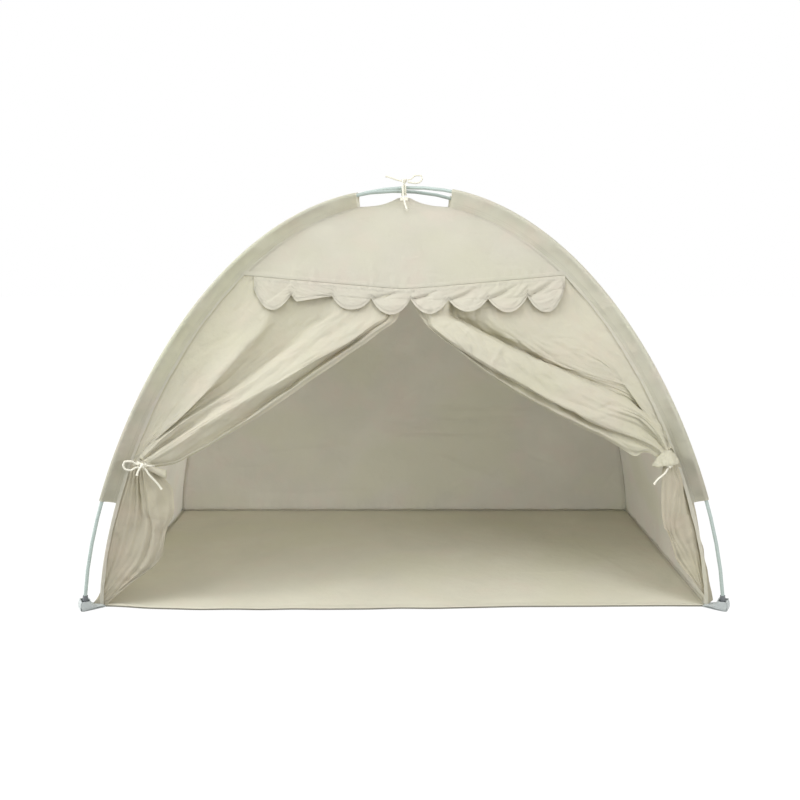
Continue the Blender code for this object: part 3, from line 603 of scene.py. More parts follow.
def cotton(name, colour, see_through=0.48, glow=(1.0, 1.0, 1.0), crinkle=1.0, foot=None, edge=(1.10, 0.35)):
    """Undyed plain-weave cotton: yarns, slubs, crinkles, a faint unevenness of tone and a stitched edge, with
    painted shade in the weave's hollows and in the groove beside the stitches.

    see_through is the share of light that passes through the cloth, and glow is its tint.
    foot gives a share of the colour near the ground, and the two heights that it fades between: painted shade
    that darkens the cloth towards the ground.
    edge gives a share of the colour at the cloth's edge, and how strongly it shows: a lighter share is wear,
    a darker one is a painted shadow line along the rim.
    """
    nodes = new_material(name)
    weave_map, place = nodes.uv("weave"), nodes.place()
    cloud = nodes.noise(place, scale=4.5, detail=3.0, roughness=0.6)
    patches = nodes.noise(place, scale=12.0, detail=3.0, roughness=0.55)
    tints = nodes.noise(nodes.scaled(place, (1.0, 1.0, 1.3)), scale=3.1)
    warp_slub = nodes.noise(nodes.scaled(weave_map, ALONG_WARP), scale=1.0)
    weft_slub = nodes.noise(nodes.scaled(weave_map, ALONG_WEFT), scale=1.0)
    slub = nodes.plus(nodes.ramp(warp_slub, 0.58, 0.78), nodes.ramp(weft_slub, 0.56, 0.76))
    tone = nodes.mix(nodes.ramp(cloud, 0.38, 0.62), shade(colour, 0.965), shade(colour, 1.02))
    tone = nodes.tint(tone, nodes.ramp(patches, 0.48, 0.66), 0.7, shade(colour, PINK_CAST))
    tone = nodes.tint(tone, nodes.ramp(tints, 0.50, 0.62), 0.7, shade(colour, GREEN_CAST))
    tone = nodes.tint(tone, slub, 0.10, shade(colour, 1.12))
    # Painted shade: the cloth is darkened towards the ground, along an uneven line.
    if foot:
        share, low, high = foot
        height = nodes.plus(nodes.parts(place)[2], nodes.times(nodes.math("SUBTRACT", cloud, 0.5), 0.25))
        tone = nodes.mix(nodes.ramp(height, high, low), tone, shade(FOOT_SHADE_CAST, share), "MULTIPLY")
    weave = weave_height(nodes, weave_map)
    # Painted shade in the hollows of the weave.
    tone = nodes.tint(tone, nodes.ramp(weave, -0.2, -1.0), 0.10, shade(colour, 0.72))

    soft = nodes.noise(place, scale=34.0, detail=5.0, roughness=0.58)
    sharp = nodes.noise(place, scale=15.0, detail=4.0, noise_type="RIDGED_MULTIFRACTAL")
    yarns = nodes.plus(nodes.times(weave, 0.5), nodes.times(slub, 0.9))
    normal = nodes.bump(yarns, distance=0.00016, strength=0.55)
    folds = nodes.plus(soft, nodes.times(sharp, 0.22))
    normal = nodes.bump(folds, distance=0.0042 * crinkle, strength=0.60, below=normal)

    along, distance = nodes.parts(nodes.uv("edge"))[:2]
    from_stitches = nodes.math("ABSOLUTE", nodes.math("SUBTRACT", distance, HEM_DISTANCE))
    thread = nodes.ramp(from_stitches, *STITCH_HALF_WIDTHS)
    thread = nodes.times(thread, nodes.ramp(nodes.sine(along, STITCH_LENGTH), -0.45, -0.1))
    # Painted shade in the groove beside the stitches; the same groove also sinks the bump there.
    shaded_groove = nodes.ramp(from_stitches, SHADED_GROOVE_WIDTH, 0.0)
    tone = nodes.tint(tone, shaded_groove, 0.16, shade(colour, 0.70))
    tone = nodes.tint(tone, thread, 0.55, shade(colour, 1.16))
    # The edge is drawn to a share of the colour: lighter is wear, darker is a painted shadow line.
    tone = nodes.tint(tone, nodes.ramp(distance, EDGE_WEAR_AND_SHADE_WIDTH, 0.0), edge[1], shade(colour, edge[0]))
    relief = nodes.math("SUBTRACT", nodes.times(thread, 0.8), shaded_groove)
    relief = nodes.plus(relief, nodes.times(nodes.ramp(distance, *FOLD_STEPS), 0.9))
    normal = nodes.bump(relief, distance=0.0008, strength=0.8, below=normal)

    through_tone = nodes.mix(1.0, tone, (*glow, 1), "MULTIPLY")
    passed = nodes.add("ShaderNodeBsdfTranslucent", {"Color": through_tone, "Normal": normal})
    nodes.mix_in(see_through, passed)
    return nodes.finish({
        "Base Color": tone, "Normal": normal, "Roughness": 0.92, "Specular IOR Level": 0.18,
        "Sheen Weight": 0.12, "Sheen Roughness": 0.5,
    })


def cord_cotton(name, colour):
    """Soft spun cotton cord with fine fibres along its twist."""
    nodes = new_material(name)
    stretched = nodes.scaled(nodes.uv("weave"), ALONG_TWIST)
    fibres = nodes.noise(stretched, scale=1.0, detail=3.0, roughness=0.7)
    grime = nodes.noise(nodes.place(), scale=60.0, detail=3.0)
    tone = nodes.mix(nodes.ramp(fibres, 0.3, 0.7), shade(colour, 0.86), shade(colour, 1.06))
    tone = nodes.tint(tone, nodes.ramp(grime, 0.5, 0.75), 0.35, shade(colour, 0.88))
    normal = nodes.bump(fibres, distance=0.0004, strength=0.6)
    return nodes.finish({"Base Color": tone, "Normal": normal, "Roughness": 0.88, "Sheen Weight": 0.2})


RIB_PITCH = 0.0019
YARN_PITCH = 0.0013


def webbing(name, colour):
    """Pale polyester tape with ribs across it and a fine herringbone, its ribs painted darker in their
    hollows and lighter on their crests.
    """
    nodes = new_material(name)
    across, along = nodes.parts(nodes.uv("weave"))[:2]
    height = nodes.plus(nodes.sine(along, RIB_PITCH), nodes.times(nodes.sine(across, YARN_PITCH), 0.6))
    wear = nodes.noise(nodes.place(), scale=80.0, detail=4.0)
    # Painted shade and light: the ribs' hollows are darker and their crests lighter.
    tone = nodes.mix(nodes.ramp(height, -1.0, 1.0), shade(colour, 0.80), shade(colour, 1.05))
    tone = nodes.tint(tone, nodes.ramp(wear, 0.5, 0.7), 0.4, shade(colour, 0.84))
    normal = nodes.bump(height, distance=0.0003, strength=0.7)
    return nodes.finish({"Base Color": tone, "Normal": normal, "Roughness": 0.55, "Sheen Weight": 0.15})


def hard_finish(name, colour, roughness, metallic=0.0, streak=ALONG_POLE, depth=0.00006):
    """A pole, ferrule or tip: fine lengthways marks, smudges and small scuffs."""
    nodes = new_material(name)
    place = nodes.place()
    lines = nodes.noise(nodes.scaled(place, streak), scale=6.0, detail=4.0, roughness=0.6)
    smudge = nodes.noise(place, scale=26.0, detail=4.0, roughness=0.6)
    scuff = nodes.ramp(nodes.noise(place, scale=160.0, detail=5.0, roughness=0.7), 0.60, 0.72)
    tone = nodes.mix(nodes.ramp(lines, 0.35, 0.65), shade(colour, 0.90), shade(colour, 1.06))
    tone = nodes.tint(tone, scuff, 0.3, shade(colour, 1.25))
    rough = nodes.plus(roughness - 0.08, nodes.times(smudge, 0.22))
    normal = nodes.bump(lines, distance=depth, strength=0.5)
    return nodes.finish({"Base Color": tone, "Normal": normal, "Roughness": rough, "Metallic": metallic})


# Canopy walls

def raised(grid, relief):
    """A cloth moved out along its own normals."""
    return grid + normals(grid) * relief[..., None]


def shares(grid):
    """How far down and how far across a cloth its rows and columns are, from 0 to 1."""
    return np.linspace(0, 1, grid.shape[0])[:, None], np.linspace(0, 1, grid.shape[1])[None]


def crown_lift(reach):
    """The crown's tie pulls the cloth up to the poles, and the free edges beside it sag."""
    sag = CROWN_SAG * np.sin(math.pi * np.clip(reach / SLEEVE_CROWN_REACH_SHARE, 0, 1))
    return CROWN_PULL * np.exp(-((reach / CROWN_PULL_REACH) ** 1.5)) - sag


RIDGE_GAP = 0.0004
WALL_STEP = 0.0075
WALL_LENGTH = 1.35


def front_grid(half_run, half_span, angles, across):
    """The middle of a wall that faces -Y, at these angles up its arch and shares of its half width."""
    out, up, normal_out, normal_up = profile(half_run, angles)
    run = out - normal_out * PANEL_THICKNESS / 2
    height = up - normal_up * PANEL_THICKNESS / 2 + crown_lift(arch(angles)[0])
    return np.stack([(run * half_span / half_run - RIDGE_GAP) * across, -run, height], axis=-1)


def turn_about_z(grid, degrees):
    c, s = math.cos(math.radians(degrees)), math.sin(math.radians(degrees))
    x, y, z = grid[..., 0], grid[..., 1], grid[..., 2]
    return np.stack([x * c - y * s, x * s + y * c, z], axis=-1)


def taut_relief(grid, sag, margin, seam_margin, swells, creased, gathers):
    """How far a taut cloth stands out: a slack middle, soft swells, creases and gathers at its seams.

    A swell is a height, a seed and a wavelength. Creases and gathers are given as their functions take them.
    """
    u, v = own_lengths(grid)
    along, distance = edge_distance(grid)
    across = np.linspace(-1, 1, grid.shape[1])[None]
    inside = smooth_step(distance / margin)
    relief = -sag * (1 - across**2) * np.sin(math.pi * shares(grid)[0])
    for height, seed, wavelength in swells:
        relief = relief + height * ripples(u, v, seed, wavelength) * inside
    for settings in creased:
        relief += creases(u, v, **settings) * inside
    return relief + puckers(along, distance, **gathers) * smooth_step(distance / seam_margin)


# Long creases in the back wall: start, end, width and height, in its own two lengths
BACK_PULLS = (
    ((0.16, 0.31), (-0.56, 0.33), 0.010, 0.0095), ((0.10, 0.28), (-0.40, 0.27), 0.007, -0.0065),
    ((0.05, 0.36), (-0.46, 0.37), 0.008, 0.0060), ((-0.08, 0.21), (-0.34, 0.10), 0.008, 0.0085),
    ((-0.30, 0.25), (-0.52, 0.16), 0.008, -0.0060), ((0.60, 0.06), (0.05, 0.07), 0.010, 0.0040),
    ((0.50, 0.20), (0.10, 0.24), 0.012, 0.0060),
)
# Name, the way that it faces, half run, half span, seed, height of its creases, long creases
WALLS = (
    ("back", 180, HALF_DEPTH, HALF_WIDTH, 101, 0.0024, BACK_PULLS),
    ("left_side", -90, HALF_WIDTH, HALF_DEPTH, 201, 0.0016, ()),
    ("right_side", 90, HALF_WIDTH, HALF_DEPTH, 301, 0.0016, ()),
)


def make_wall(label, facing, half_run, half_span, seed, crease, pulls, look):
    """A wall from the floor to the crown, drawn taut between two ridges."""
    across = np.linspace(-1, 1, round(half_span * 2 / WALL_STEP))
    angles = even_angles(half_run, 0.0, angle_at_reach(CROWN_HOLE_SHARE), round(WALL_LENGTH / WALL_STEP))
    grid = turn_about_z(front_grid(half_run, half_span, angles[:, None] + 0 * across, across), facing)
    relief = taut_relief(
        grid, sag=0.007, margin=0.05, seam_margin=0.006,
        swells=((0.0016, seed, 0.26), (0.0016 * 0.35, seed + 1, 0.09)),
        creased=(
            {"seed": seed + 2, "count": 34, "length": 0.20, "width": 0.005, "height": crease, "spread": 0.5},
            {"seed": seed + 3, "count": 18, "length": 0.34, "width": 0.007, "height": crease,
             "along": math.pi / 2, "spread": 0.35},
        ),
        gathers={"seed": seed + 4, "wavelength": 0.026, "height": 0.0007, "decay": 0.028},
    )
    u, v = own_lengths(grid)
    for start, end, width, height in pulls:
        relief += pull(u, v, start, end, width, height)
    grid = raised(grid, relief)
    cloth(f"{label}_cloth", grid, look, "stretched", ["floor_cloth"], node=f"{label}_panel")


GABLE_ROWS = 120
GABLE_COLUMNS = 230
GABLE_FOOT_HALF = 0.428
GABLE_FOOT_DROP = 0.001


def make_gable(look):
    """The front above the door seam, which sags along its lower edge."""
    across = np.linspace(-1, 1, GABLE_COLUMNS)
    low = angle_at_height(seam_height(across * GABLE_FOOT_HALF) - GABLE_FOOT_DROP)
    top = float(angle_at_reach(CROWN_HOLE_SHARE))
    angles = low + (top - low) * np.linspace(0, 1, GABLE_ROWS)[:, None]
    grid = front_grid(HALF_DEPTH, HALF_WIDTH, angles, across)
    relief = taut_relief(
        grid, sag=0.004, margin=0.03, seam_margin=0.005, swells=((0.0012, 11, 0.20),),
        creased=(
            {"seed": 12, "count": 30, "length": 0.16, "width": 0.004, "height": 0.0011, "spread": 0.25},
            {"seed": 13, "count": 10, "length": 0.22, "width": 0.006, "height": 0.0009,
             "along": 1.35, "spread": 0.3},
        ),
        gathers={"seed": 14, "wavelength": 0.022, "height": 0.0008, "decay": 0.022},
    )
    grid = raised(grid, relief)
    cloth("gable_cloth", grid, look, "stretched", ["front_left_sleeve_cloth"], node="front_gable")


# Places across the floor's front edge, and how far its slack bulges forward there
FLOOR_SLACK = np.array([
    [-0.75, 0.0], [-0.62, 0.016], [-0.40, 0.024], [0.0, 0.018], [0.35, 0.004], [0.75, 0.0],
])
FLOOR_COLUMNS = 200
FLOOR_ROWS = 116
FLOOR_INSET = 0.003
FLOOR_FRONT_INSET = 0.0006
FLOOR_LIFT = 0.0011
HEM_WIDTH = 0.021
HEM_RISE = 0.0014
HEM_EXTRA_THICKNESS = 0.0026


def make_floor(look):
    """The floor cloth, nearly flat, with long soft waves and a folded hem at the door."""
    x = np.linspace(-HALF_WIDTH + FLOOR_INSET, HALF_WIDTH - FLOOR_INSET, FLOOR_COLUMNS)
    y = np.linspace(-HALF_DEPTH + FLOOR_FRONT_INSET, HALF_DEPTH - FLOOR_INSET, FLOOR_ROWS)
    grid = np.stack([*np.meshgrid(x, y), np.full((FLOOR_ROWS, FLOOR_COLUMNS), FLOOR_LIFT)], axis=-1)
    slack = through(FLOOR_SLACK[:, 0], FLOOR_SLACK[:, 1:], grid[0, :, 0])[:, 0]
    grid[..., 1] -= slack[None] * np.linspace(1, 0, FLOOR_ROWS)[:, None] ** 2
    u, v = own_lengths(grid)
    inside = smooth_step(edge_distance(grid)[1] / 0.06)
    lift = 0.0014 * np.clip(ripples(u, v, 31, wavelength=0.30), 0, None) * inside
    short = creases(u, v, 32, count=26, length=0.34, width=0.006, height=0.0016, along=0.15, spread=0.5)
    long = creases(u, v, 33, count=14, length=0.5, width=0.009, height=0.0018, along=math.pi / 2, spread=0.4)
    lift += 0.9 * np.abs(short) * inside
    lift += np.abs(long) * inside
    hem = smooth_step((HEM_WIDTH - v) / 0.002)
    grid[..., 2] += lift + HEM_RISE * hem
    grid[..., 2] += 0.0004 * (1 + ripples(u, v, 34, wavelength=0.18)) * hem
    cloth(
        "floor_cloth", grid, look, "laid", ["ground"], node="floor_panel", slot="floor_cotton",
        thickness=SHEET_THICKNESS + HEM_EXTRA_THICKNESS * hem,
    )


# Seams: allowances inside, and turned bindings outside

FLAP_STEP = 0.008
FLAP_COLUMNS = 5
FLAP_LEAN = 0.35


def two_waves(length, first, second):
    """How a seam wanders along its length: two waves, each a height and a wavelength over two pi."""
    return first[0] * np.sin(length / first[1]) + second[0] * np.sin(length / second[1] + 1)


def make_flap(name, path, toward, width, look):
    """A narrow seam allowance that stands off a seam on the inside."""
    path = np.asarray(path, float)
    path = resample(path, max(20, round(chords(path)[-1] / FLAP_STEP)))
    toward = np.tile(np.array(toward) / np.linalg.norm(toward), (len(path), 1))
    wave = two_waves(chords(path), (0.15, 0.021), (0.1, 0.0083))
    share = np.linspace(0, 1, FLAP_COLUMNS)
    sideways = np.cross(np.gradient(path, axis=0), toward)
    sideways /= np.linalg.norm(sideways, axis=1, keepdims=True)
    reach = toward[:, None] * share[None, :, None] * width
    lean = sideways[:, None] * (share[None, :] ** 2 * (FLAP_LEAN + wave[:, None]))[..., None] * width
    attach(sheet_mesh(name, path[:, None] + reach + lean, look, thickness=1.1 * MM), "root")


def make_seam_flaps(look):
    """Seam allowances that show inside: along the floor's edges and up the two rear ridges."""
    rise = 0.003
    side_x, first_y, last_y = HALF_WIDTH - 0.004, -HALF_DEPTH + 0.03, HALF_DEPTH - 0.006
    for name, side in (("left", -1), ("right", 1)):
        out, up = profile(HALF_DIAGONAL, angle_at_height(np.linspace(0.004, 0.93, 50)))[:2]
        path = in_plane((side, 1), out - 0.0022, up)
        make_flap(f"rear_{name}_seam_allowance", path, (-side * 0.8, -0.6, 0), 0.006, look)
        path = np.linspace((side * side_x, first_y, rise), (side * side_x, last_y, rise), 30)
        make_flap(f"{name}_floor_seam_allowance", path, (-side * 0.5, 0, 0.85), 0.008, look)
    rear_x, rear_y = HALF_WIDTH - 0.006, HALF_DEPTH - 0.004
    path = np.linspace((-rear_x, rear_y, rise), (rear_x, rear_y, rise), 60)
    make_flap("rear_floor_seam_allowance", path, (0, -0.5, 0.85), 0.008, look)


BINDING_ROWS = 9
BINDING_WIDTH = 0.0085
BINDING_STAND = {"left": 0.0010, "right": 0.0016}
RIDGE_BINDING_FOOT = 0.006
RIDGE_BINDING_TOP = 0.89
RIDGE_BINDING_FADE = 0.12
RIDGE_BINDING_OVERLAP = 0.0006
RIDGE_BINDING_CROWN = 0.0004
DOOR_BINDING_HALF = 0.424
DOOR_BINDING_WIDTH = 0.0095
DOOR_BINDING_RISE = 0.0016
DOOR_BINDING_STAND = 0.0017
DOOR_BINDING_CROWN = 0.0005
RUCK = 0.0005


def make_ridge_binding(label, side, look):
    """The turned seam that runs up a front ridge, on the door side of its sleeve."""
    low, top = (float(angle_at_height(height)) for height in (RIDGE_BINDING_FOOT, RIDGE_BINDING_TOP))
    out, up = profile(HALF_WIDTH, even_angles(HALF_WIDTH, low, top, 240))[:2]
    length = chords(np.stack([out, up], axis=1))
    fade = smooth_step((RIDGE_BINDING_TOP - up) / RIDGE_BINDING_FADE)[:, None] * 0.85 + 0.15
    across = np.linspace(0, 1, BINDING_ROWS)[None]
    wander = two_waves(length, (0.0006, 0.031), (0.0004, 0.012))
    ruck = RUCK * np.sin(length / 0.0037) * np.sin(length / 0.029)
    x = (out + RIDGE_BINDING_OVERLAP)[:, None] - across * (BINDING_WIDTH + wander[:, None])
    stand = (BINDING_STAND[label] + ruck[:, None]) * fade + RIDGE_BINDING_CROWN * np.sin(math.pi * across)
    height = up[:, None] + 0 * across
    grid = np.stack([side * x, front_y(height, stand), height], axis=-1)
    cloth(f"{label}_ridge_binding", grid, look, "stretched", ["gable_cloth"])


def make_door_binding(look):
    """The turned seam along the gable's lower edge, which the curtains and the valance hang from."""
    x = np.linspace(-DOOR_BINDING_HALF, DOOR_BINDING_HALF, 300)
    share = np.linspace(0, 1, BINDING_ROWS)[:, None]
    length = chords(np.stack([x, seam_height(x)], axis=1))[None]
    wander = two_waves(length, (0.0007, 0.043), (0.0004, 0.013))
    height = seam_height(x)[None] + DOOR_BINDING_RISE + (DOOR_BINDING_WIDTH + wander) * (1 - share)
    ruck = RUCK * np.sin(length / 0.0034) * np.sin(length / 0.024)
    stand = DOOR_BINDING_STAND + ruck + DOOR_BINDING_CROWN * np.sin(math.pi * share)
    grid = np.stack([x[None] + 0 * share, front_y(height, stand), height], axis=-1)
    cloth("door_seam_binding", grid, look, "stretched", ["gable_cloth"])


# Curtains, from fold lines read off the photograph: (pixel x, pixel y, mm outside the front).
# A curtain's line begins with the column where it leaves the door seam.

LEFT_CURTAIN_FOLDS = (
    (252, ((232, 320, -2), (200, 370, -3), (165, 420, -2), (138, 458, 4))),
    (272, ((266, 322, 7), (244, 348, 17), (226, 370, 20), (206, 392, 16), (180, 418, 9), (156, 440, 8),
           (138.5, 458, 9))),
    (288, ((279, 316, -7), (263, 340, -7), (247, 360, -8), (230, 377, -8), (209, 393, -8), (185, 412, -6),
           (160, 433.5, -1), (139, 458, 9))),
    (322, ((322, 313, -14), (305, 327, -19), (290, 340, -21), (272, 355, -20), (255, 367.5, -16),
           (243, 377, -12), (228, 389.5, -9), (210, 400.5, -7), (191, 412.5, -5), (171, 427.5, -3),
           (151, 442, 1), (139, 457, 9))),
    (345, ((339, 311, 3), (331, 317, 8), (319, 325, 12), (309, 334.5, 14), (299, 343, 15), (281, 358, 15),
           (263, 370, 14), (250, 379.5, 12), (231, 392.5, 10), (213, 404, 9), (194, 415.5, 10),
           (173, 431, 12), (152, 445, 13), (140, 458, 14))),
    (352, ((349, 313, 5), (338, 320, 12), (324, 329, 18), (309, 340, 22), (294, 353, 24), (274, 366, 25),
           (252, 382, 25), (229, 395, 23), (206, 407.5, 22), (180, 424.5, 20), (158, 442.5, 18),
           (141.5, 459, 16))),
    (357, ((357, 314.5, 5), (345, 324, 13), (328, 335, 20), (311, 347, 25), (290, 361, 27), (268, 377, 27),
           (244, 392, 25), (216, 408, 18), (190, 427, 8), (170, 441, 4), (154, 452, 6), (143, 460.5, 13))),
    (364, ((364, 315, 6), (352, 326, 17), (334, 340, 27), (315, 354, 32), (292, 369, 33), (267, 386, 33),
           (240, 402, 31), (214, 417, 28), (186, 434, 24), (164, 447.5, 20), (145, 461, 18))),
    (384, ((386, 313.5, 7), (371, 326, 18), (351, 340.5, 29), (330, 352.5, 34), (310, 363.5, 36),
           (290, 375.5, 37), (270, 387.5, 36), (250, 399, 34), (226, 413, 31), (202, 428, 27),
           (184, 440, 23), (166, 452, 20), (148, 462.5, 18))),
    (393, ((388, 317, 0), (373, 328.5, 1), (352, 343, 2), (331, 357, 2), (311, 371, 2), (291, 385.5, 2),
           (271, 399.5, 2), (251, 414, 2), (231, 427, 1), (210, 440.5, 1), (190, 451.5, 2), (170, 462, 4),
           (152, 464.5, 9))),
    (397, ((390, 318.5, 4), (375.5, 330, 10), (354.5, 344.7, 15), (333, 359, 18), (313, 373, 19),
           (293, 387.5, 19), (273, 401.5, 18), (253, 416, 17), (233, 429, 15), (212, 442.3, 13),
           (192, 453.4, 11), (171, 463, 9), (153, 465.3, 10))),
    (404, ((397, 319, -3), (381, 331, 2), (367, 342, 6), (350, 353.5, 8), (331, 367, 9), (310, 381, 10),
           (290, 395.5, 10), (270, 409, 9), (250, 421.5, 8), (230, 433.5, 7), (210, 445.5, 5),
           (190, 456, 4), (170, 465, 4), (154, 467, 7))),
)
RIGHT_CURTAIN_FOLDS = (
    (572, ((590, 330, -2), (622, 380, -3), (650, 420, 0), (668, 440, 4), (673, 450, 6))),
    (532, ((546, 320, 1), (580, 350, -1), (611, 371, -3), (640, 396, -4), (658, 420, 0), (671, 448, 8))),
    (505, ((492, 313, -4), (500, 327, -5), (517, 339, -6), (537, 351, -6), (558, 363, -4), (586, 374, -3),
           (613, 383, -4), (639, 395, -6), (655, 413, -4), (664, 430, 1), (670, 448.5, 9))),
    (472, ((453, 313, -26), (466, 322, -36), (486, 333, -36), (514, 347, -32), (543, 360.5, -24),
           (563, 369, -15), (592, 383, -9), (612, 391, -9), (632, 402, -12), (647, 413, -12),
           (660, 429, -6), (668.8, 449.5, 8))),
    (452, ((444, 312, 3), (461, 322.5, 9), (480, 333, 13), (510, 348.5, 14), (541, 362, 14), (561, 370, 13),
           (590, 384, 12), (610, 392, 13), (629.5, 403, 14), (643.5, 412.5, 14), (658, 428.5, 14),
           (668, 449.5, 15))),
    (442, ((437, 314, 6), (455, 328, 17), (476, 341, 26), (505, 356, 29), (534, 371, 29), (560, 382, 27),
           (592, 396, 26), (618, 407, 25), (641, 416.5, 25), (657, 432, 23), (667.5, 450.5, 18))),
    (434, ((432, 318, 6), (450, 335, 19), (472, 349, 28), (500, 365, 30), (528, 380, 30), (553, 395, 28),
           (578, 406, 27), (605, 415, 24), (627, 422, 18), (645, 431, 9), (657, 441, 6), (665, 451.5, 13))),
    (429, ((430, 320.5, 5), (448, 338.5, 18), (469, 352.5, 27), (496, 369, 31), (521, 383, 32),
           (541, 394.5, 32), (561, 405, 31), (581, 414.5, 30), (601, 424.5, 28), (621, 432, 25),
           (640, 438.5, 22), (655, 446, 19), (662, 453, 16))),
    (424, ((428.5, 322, -4), (446, 339.5, -1), (467, 354.5, 0), (495, 371.5, 0), (521, 385.5, 0),
           (542, 397, 0), (562, 407.5, 0), (582, 417, 0), (602, 427, 1), (621, 434.5, 2), (639, 441.5, 4),
           (653, 448.5, 6), (661, 455, 8))),
    (414, ((427, 323.5, -5), (444, 339.5, 2), (463, 353, 6), (491, 374, 8), (518, 391, 9), (540, 403, 9),
           (561, 414, 9), (581, 424, 9), (601, 433.5, 9), (619, 442, 9), (631, 447.5, 9), (640, 449, 9),
           (649, 450.5, 6), (659, 456, 7))),
    (406, ((425, 323, -8), (440, 337, -6), (460, 352, -5), (480, 367, -5), (500, 381, -5), (520, 394, -5),
           (540, 405, -5), (560, 416, -5), (580, 426.5, -5), (600, 436, -4), (615, 444, -3), (627, 451, -2),
           (636, 456, 0), (639.5, 454.5, 2), (643, 451.8, 2), (650, 453, 3), (658.5, 458.5, 6))),
)
LEFT_SKIRT_FOLDS = (
    ((134, 466, 6), (128, 490, -3), (120, 520, -6), (110, 560, -6), (98, 597, -4), (91, 606, -2)),
    ((139, 466, 8), (139, 490, -8), (140, 515, -13), (134, 550, -9), (114, 583, -6), (95, 607, -3)),
    ((142.5, 467, 11), (146, 492, 1), (148.5, 512, -1), (153, 528, -3), (146, 558, -6), (122, 586, -6),
     (98, 608, -3)),
    ((146, 467, 13), (155, 494, 8), (158, 512, 6), (160, 529, 0), (153, 560, -6), (124, 586.5, -6),
     (99, 608.3, -3)),
    ((149, 467, 12), (164, 494, 2), (167, 512, 0), (163, 530, -3), (157, 557, -8), (125, 587, -7),
     (100, 608.6, -3)),
    ((152, 467, 9), (173, 492, 4), (174, 508, 3), (166, 531, -2), (162, 555, -8), (126, 587.5, -7),
     (101, 609, -3)),
)
RIGHT_SKIRT_FOLDS = (
    ((683, 461, 3), (687, 475, 0), (692, 493, -4), (697, 520, -8), (704, 556, -8), (710, 585, -5),
     (713, 600, -3)),
    ((680, 461, 4), (683, 475, -6), (686, 490, -13), (691, 510, -15), (697, 535, -13), (701, 559, -10),
     (706, 584, -6), (711, 601, -3)),
    ((677, 461, 8), (680.5, 474, 4), (683, 489, 0), (687, 508, -2), (693, 534, -4), (698, 559, -6),
     (703, 583, -5), (709, 602, -3)),
    ((674, 461, 10), (677, 474, 10), (681, 488, 8), (680, 505, 4), (677, 521, 0), (690, 556, -8),
     (699, 580, -6), (708, 601, -3)),
    ((670, 461, 10), (670.5, 473, 14), (672, 487, 12), (671, 505, 8), (670, 523, 2), (683, 556, -8),
     (696, 580, -6), (707, 600, -3)),
    ((665, 461, 6), (662, 472, 7), (661.5, 486, 5), (661.5, 504, 4), (664, 527, 2), (667.5, 532, 0),
     (676, 558, -8), (693.5, 581, -7), (706, 597, -3)),
)

CURTAIN_TOP = 0.806
CURTAIN_UNDER_TIE = 0.004
CURTAIN_BEHIND_SEAM = 0.0012
SKIRT_OVER_TIE = 0.002
CURTAIN_ROWS = 190
CURTAIN_COLUMNS = 210
SKIRT_ROWS = 150
SKIRT_COLUMNS = 84
SKIRT_FOOT = 0.006
SKIRT_REST = 0.005
SKIRT_LOWEST = 0.0012
SKIRT_FADE = 0.006
RIDGE_SEAM_INSET = 0.0016
TAIL_BLEND_BEFORE = 0.010
TAIL_BLEND_AFTER = 0.016


def fold_surface(lines, rows, columns):
    """A smooth cloth through fold lines that all run from its top to its bottom."""
    lines = np.stack([resample(line, rows) for line in lines])
    gaps = np.linalg.norm(np.diff(lines, axis=0), axis=2).mean(axis=1)
    knots = np.concatenate([[0], np.cumsum(gaps)]) / gaps.sum()
    flat = through(knots, lines.reshape(len(lines), -1), np.linspace(0, 1, columns))
    return flat.reshape(columns, rows, 3).transpose(1, 0, 2)


def drawn_relief(grid, seed, flat_strength, fold_strength):
    """Fine folds drawn towards the tie, small cross creases and the gathers of the top seam."""
    u, v = own_lengths(grid)
    share, columns = shares(grid)
    width = columns * 0.36 + 0 * share
    edges = smooth_step(share / 0.04) * smooth_step((1 - share) / 0.06)
    edges = edges * smooth_step(columns / 0.05) * (0.35 + 0.65 * smooth_step((1 - columns) / 0.05))
    strength = flat_strength + (fold_strength - flat_strength) * smooth_step((columns - 0.30) / 0.12)
    fan = ripples(width, v * 0.35, seed, wavelength=0.030, along=math.pi / 2, spread=0.16)
    pleats = ripples(width, v * 0.25, seed + 5, wavelength=0.012, along=math.pi / 2, spread=0.10)
    relief = strength * 0.0006 * fan * share**2
    relief = relief + strength * 0.0007 * pleats * smooth_step((share - 0.55) / 0.4)
    relief = relief + strength * 0.0015 * crumple(u, v * 0.38, seed + 1, size=0.075)
    relief += strength * creases(
        u, v, seed + 2, count=60, length=0.085, width=0.0028, height=0.0017, along=0.3, spread=0.9,
    )
    relief += strength * creases(
        u, v, seed + 3, count=30, length=0.14, width=0.0040, height=0.0018, along=math.pi / 2 - 0.3,
        spread=0.5,
    )
    gathers = puckers(u, v, seed + 4, wavelength=0.024, height=0.0011, decay=0.045)
    return relief * edges + gathers * smooth_step(share / 0.02) * smooth_step(columns / 0.05)


def make_curtain(label, side, folds, look, seed, flat_strength, fold_strength):
    """The curtain from the door seam to its tie."""
    lines = [ridge_line(side, CURTAIN_TOP, TIE_HEIGHT - CURTAIN_UNDER_TIE, RIDGE_SEAM_INSET)]
    for top_pixel, marks in folds:
        lines.append(np.vstack([seam_point(top_pixel, -CURTAIN_BEHIND_SEAM), on_front(marks)]))
    grid = fold_surface(lines, CURTAIN_ROWS, CURTAIN_COLUMNS)
    grid = raised(grid, drawn_relief(grid, seed, flat_strength, fold_strength))
    cloth(
        f"{label}_curtain_cloth", grid, look, "gathered", ["gable_cloth", f"{label}_tie_cord_wrap"],
        node=f"{label}_curtain",
    )


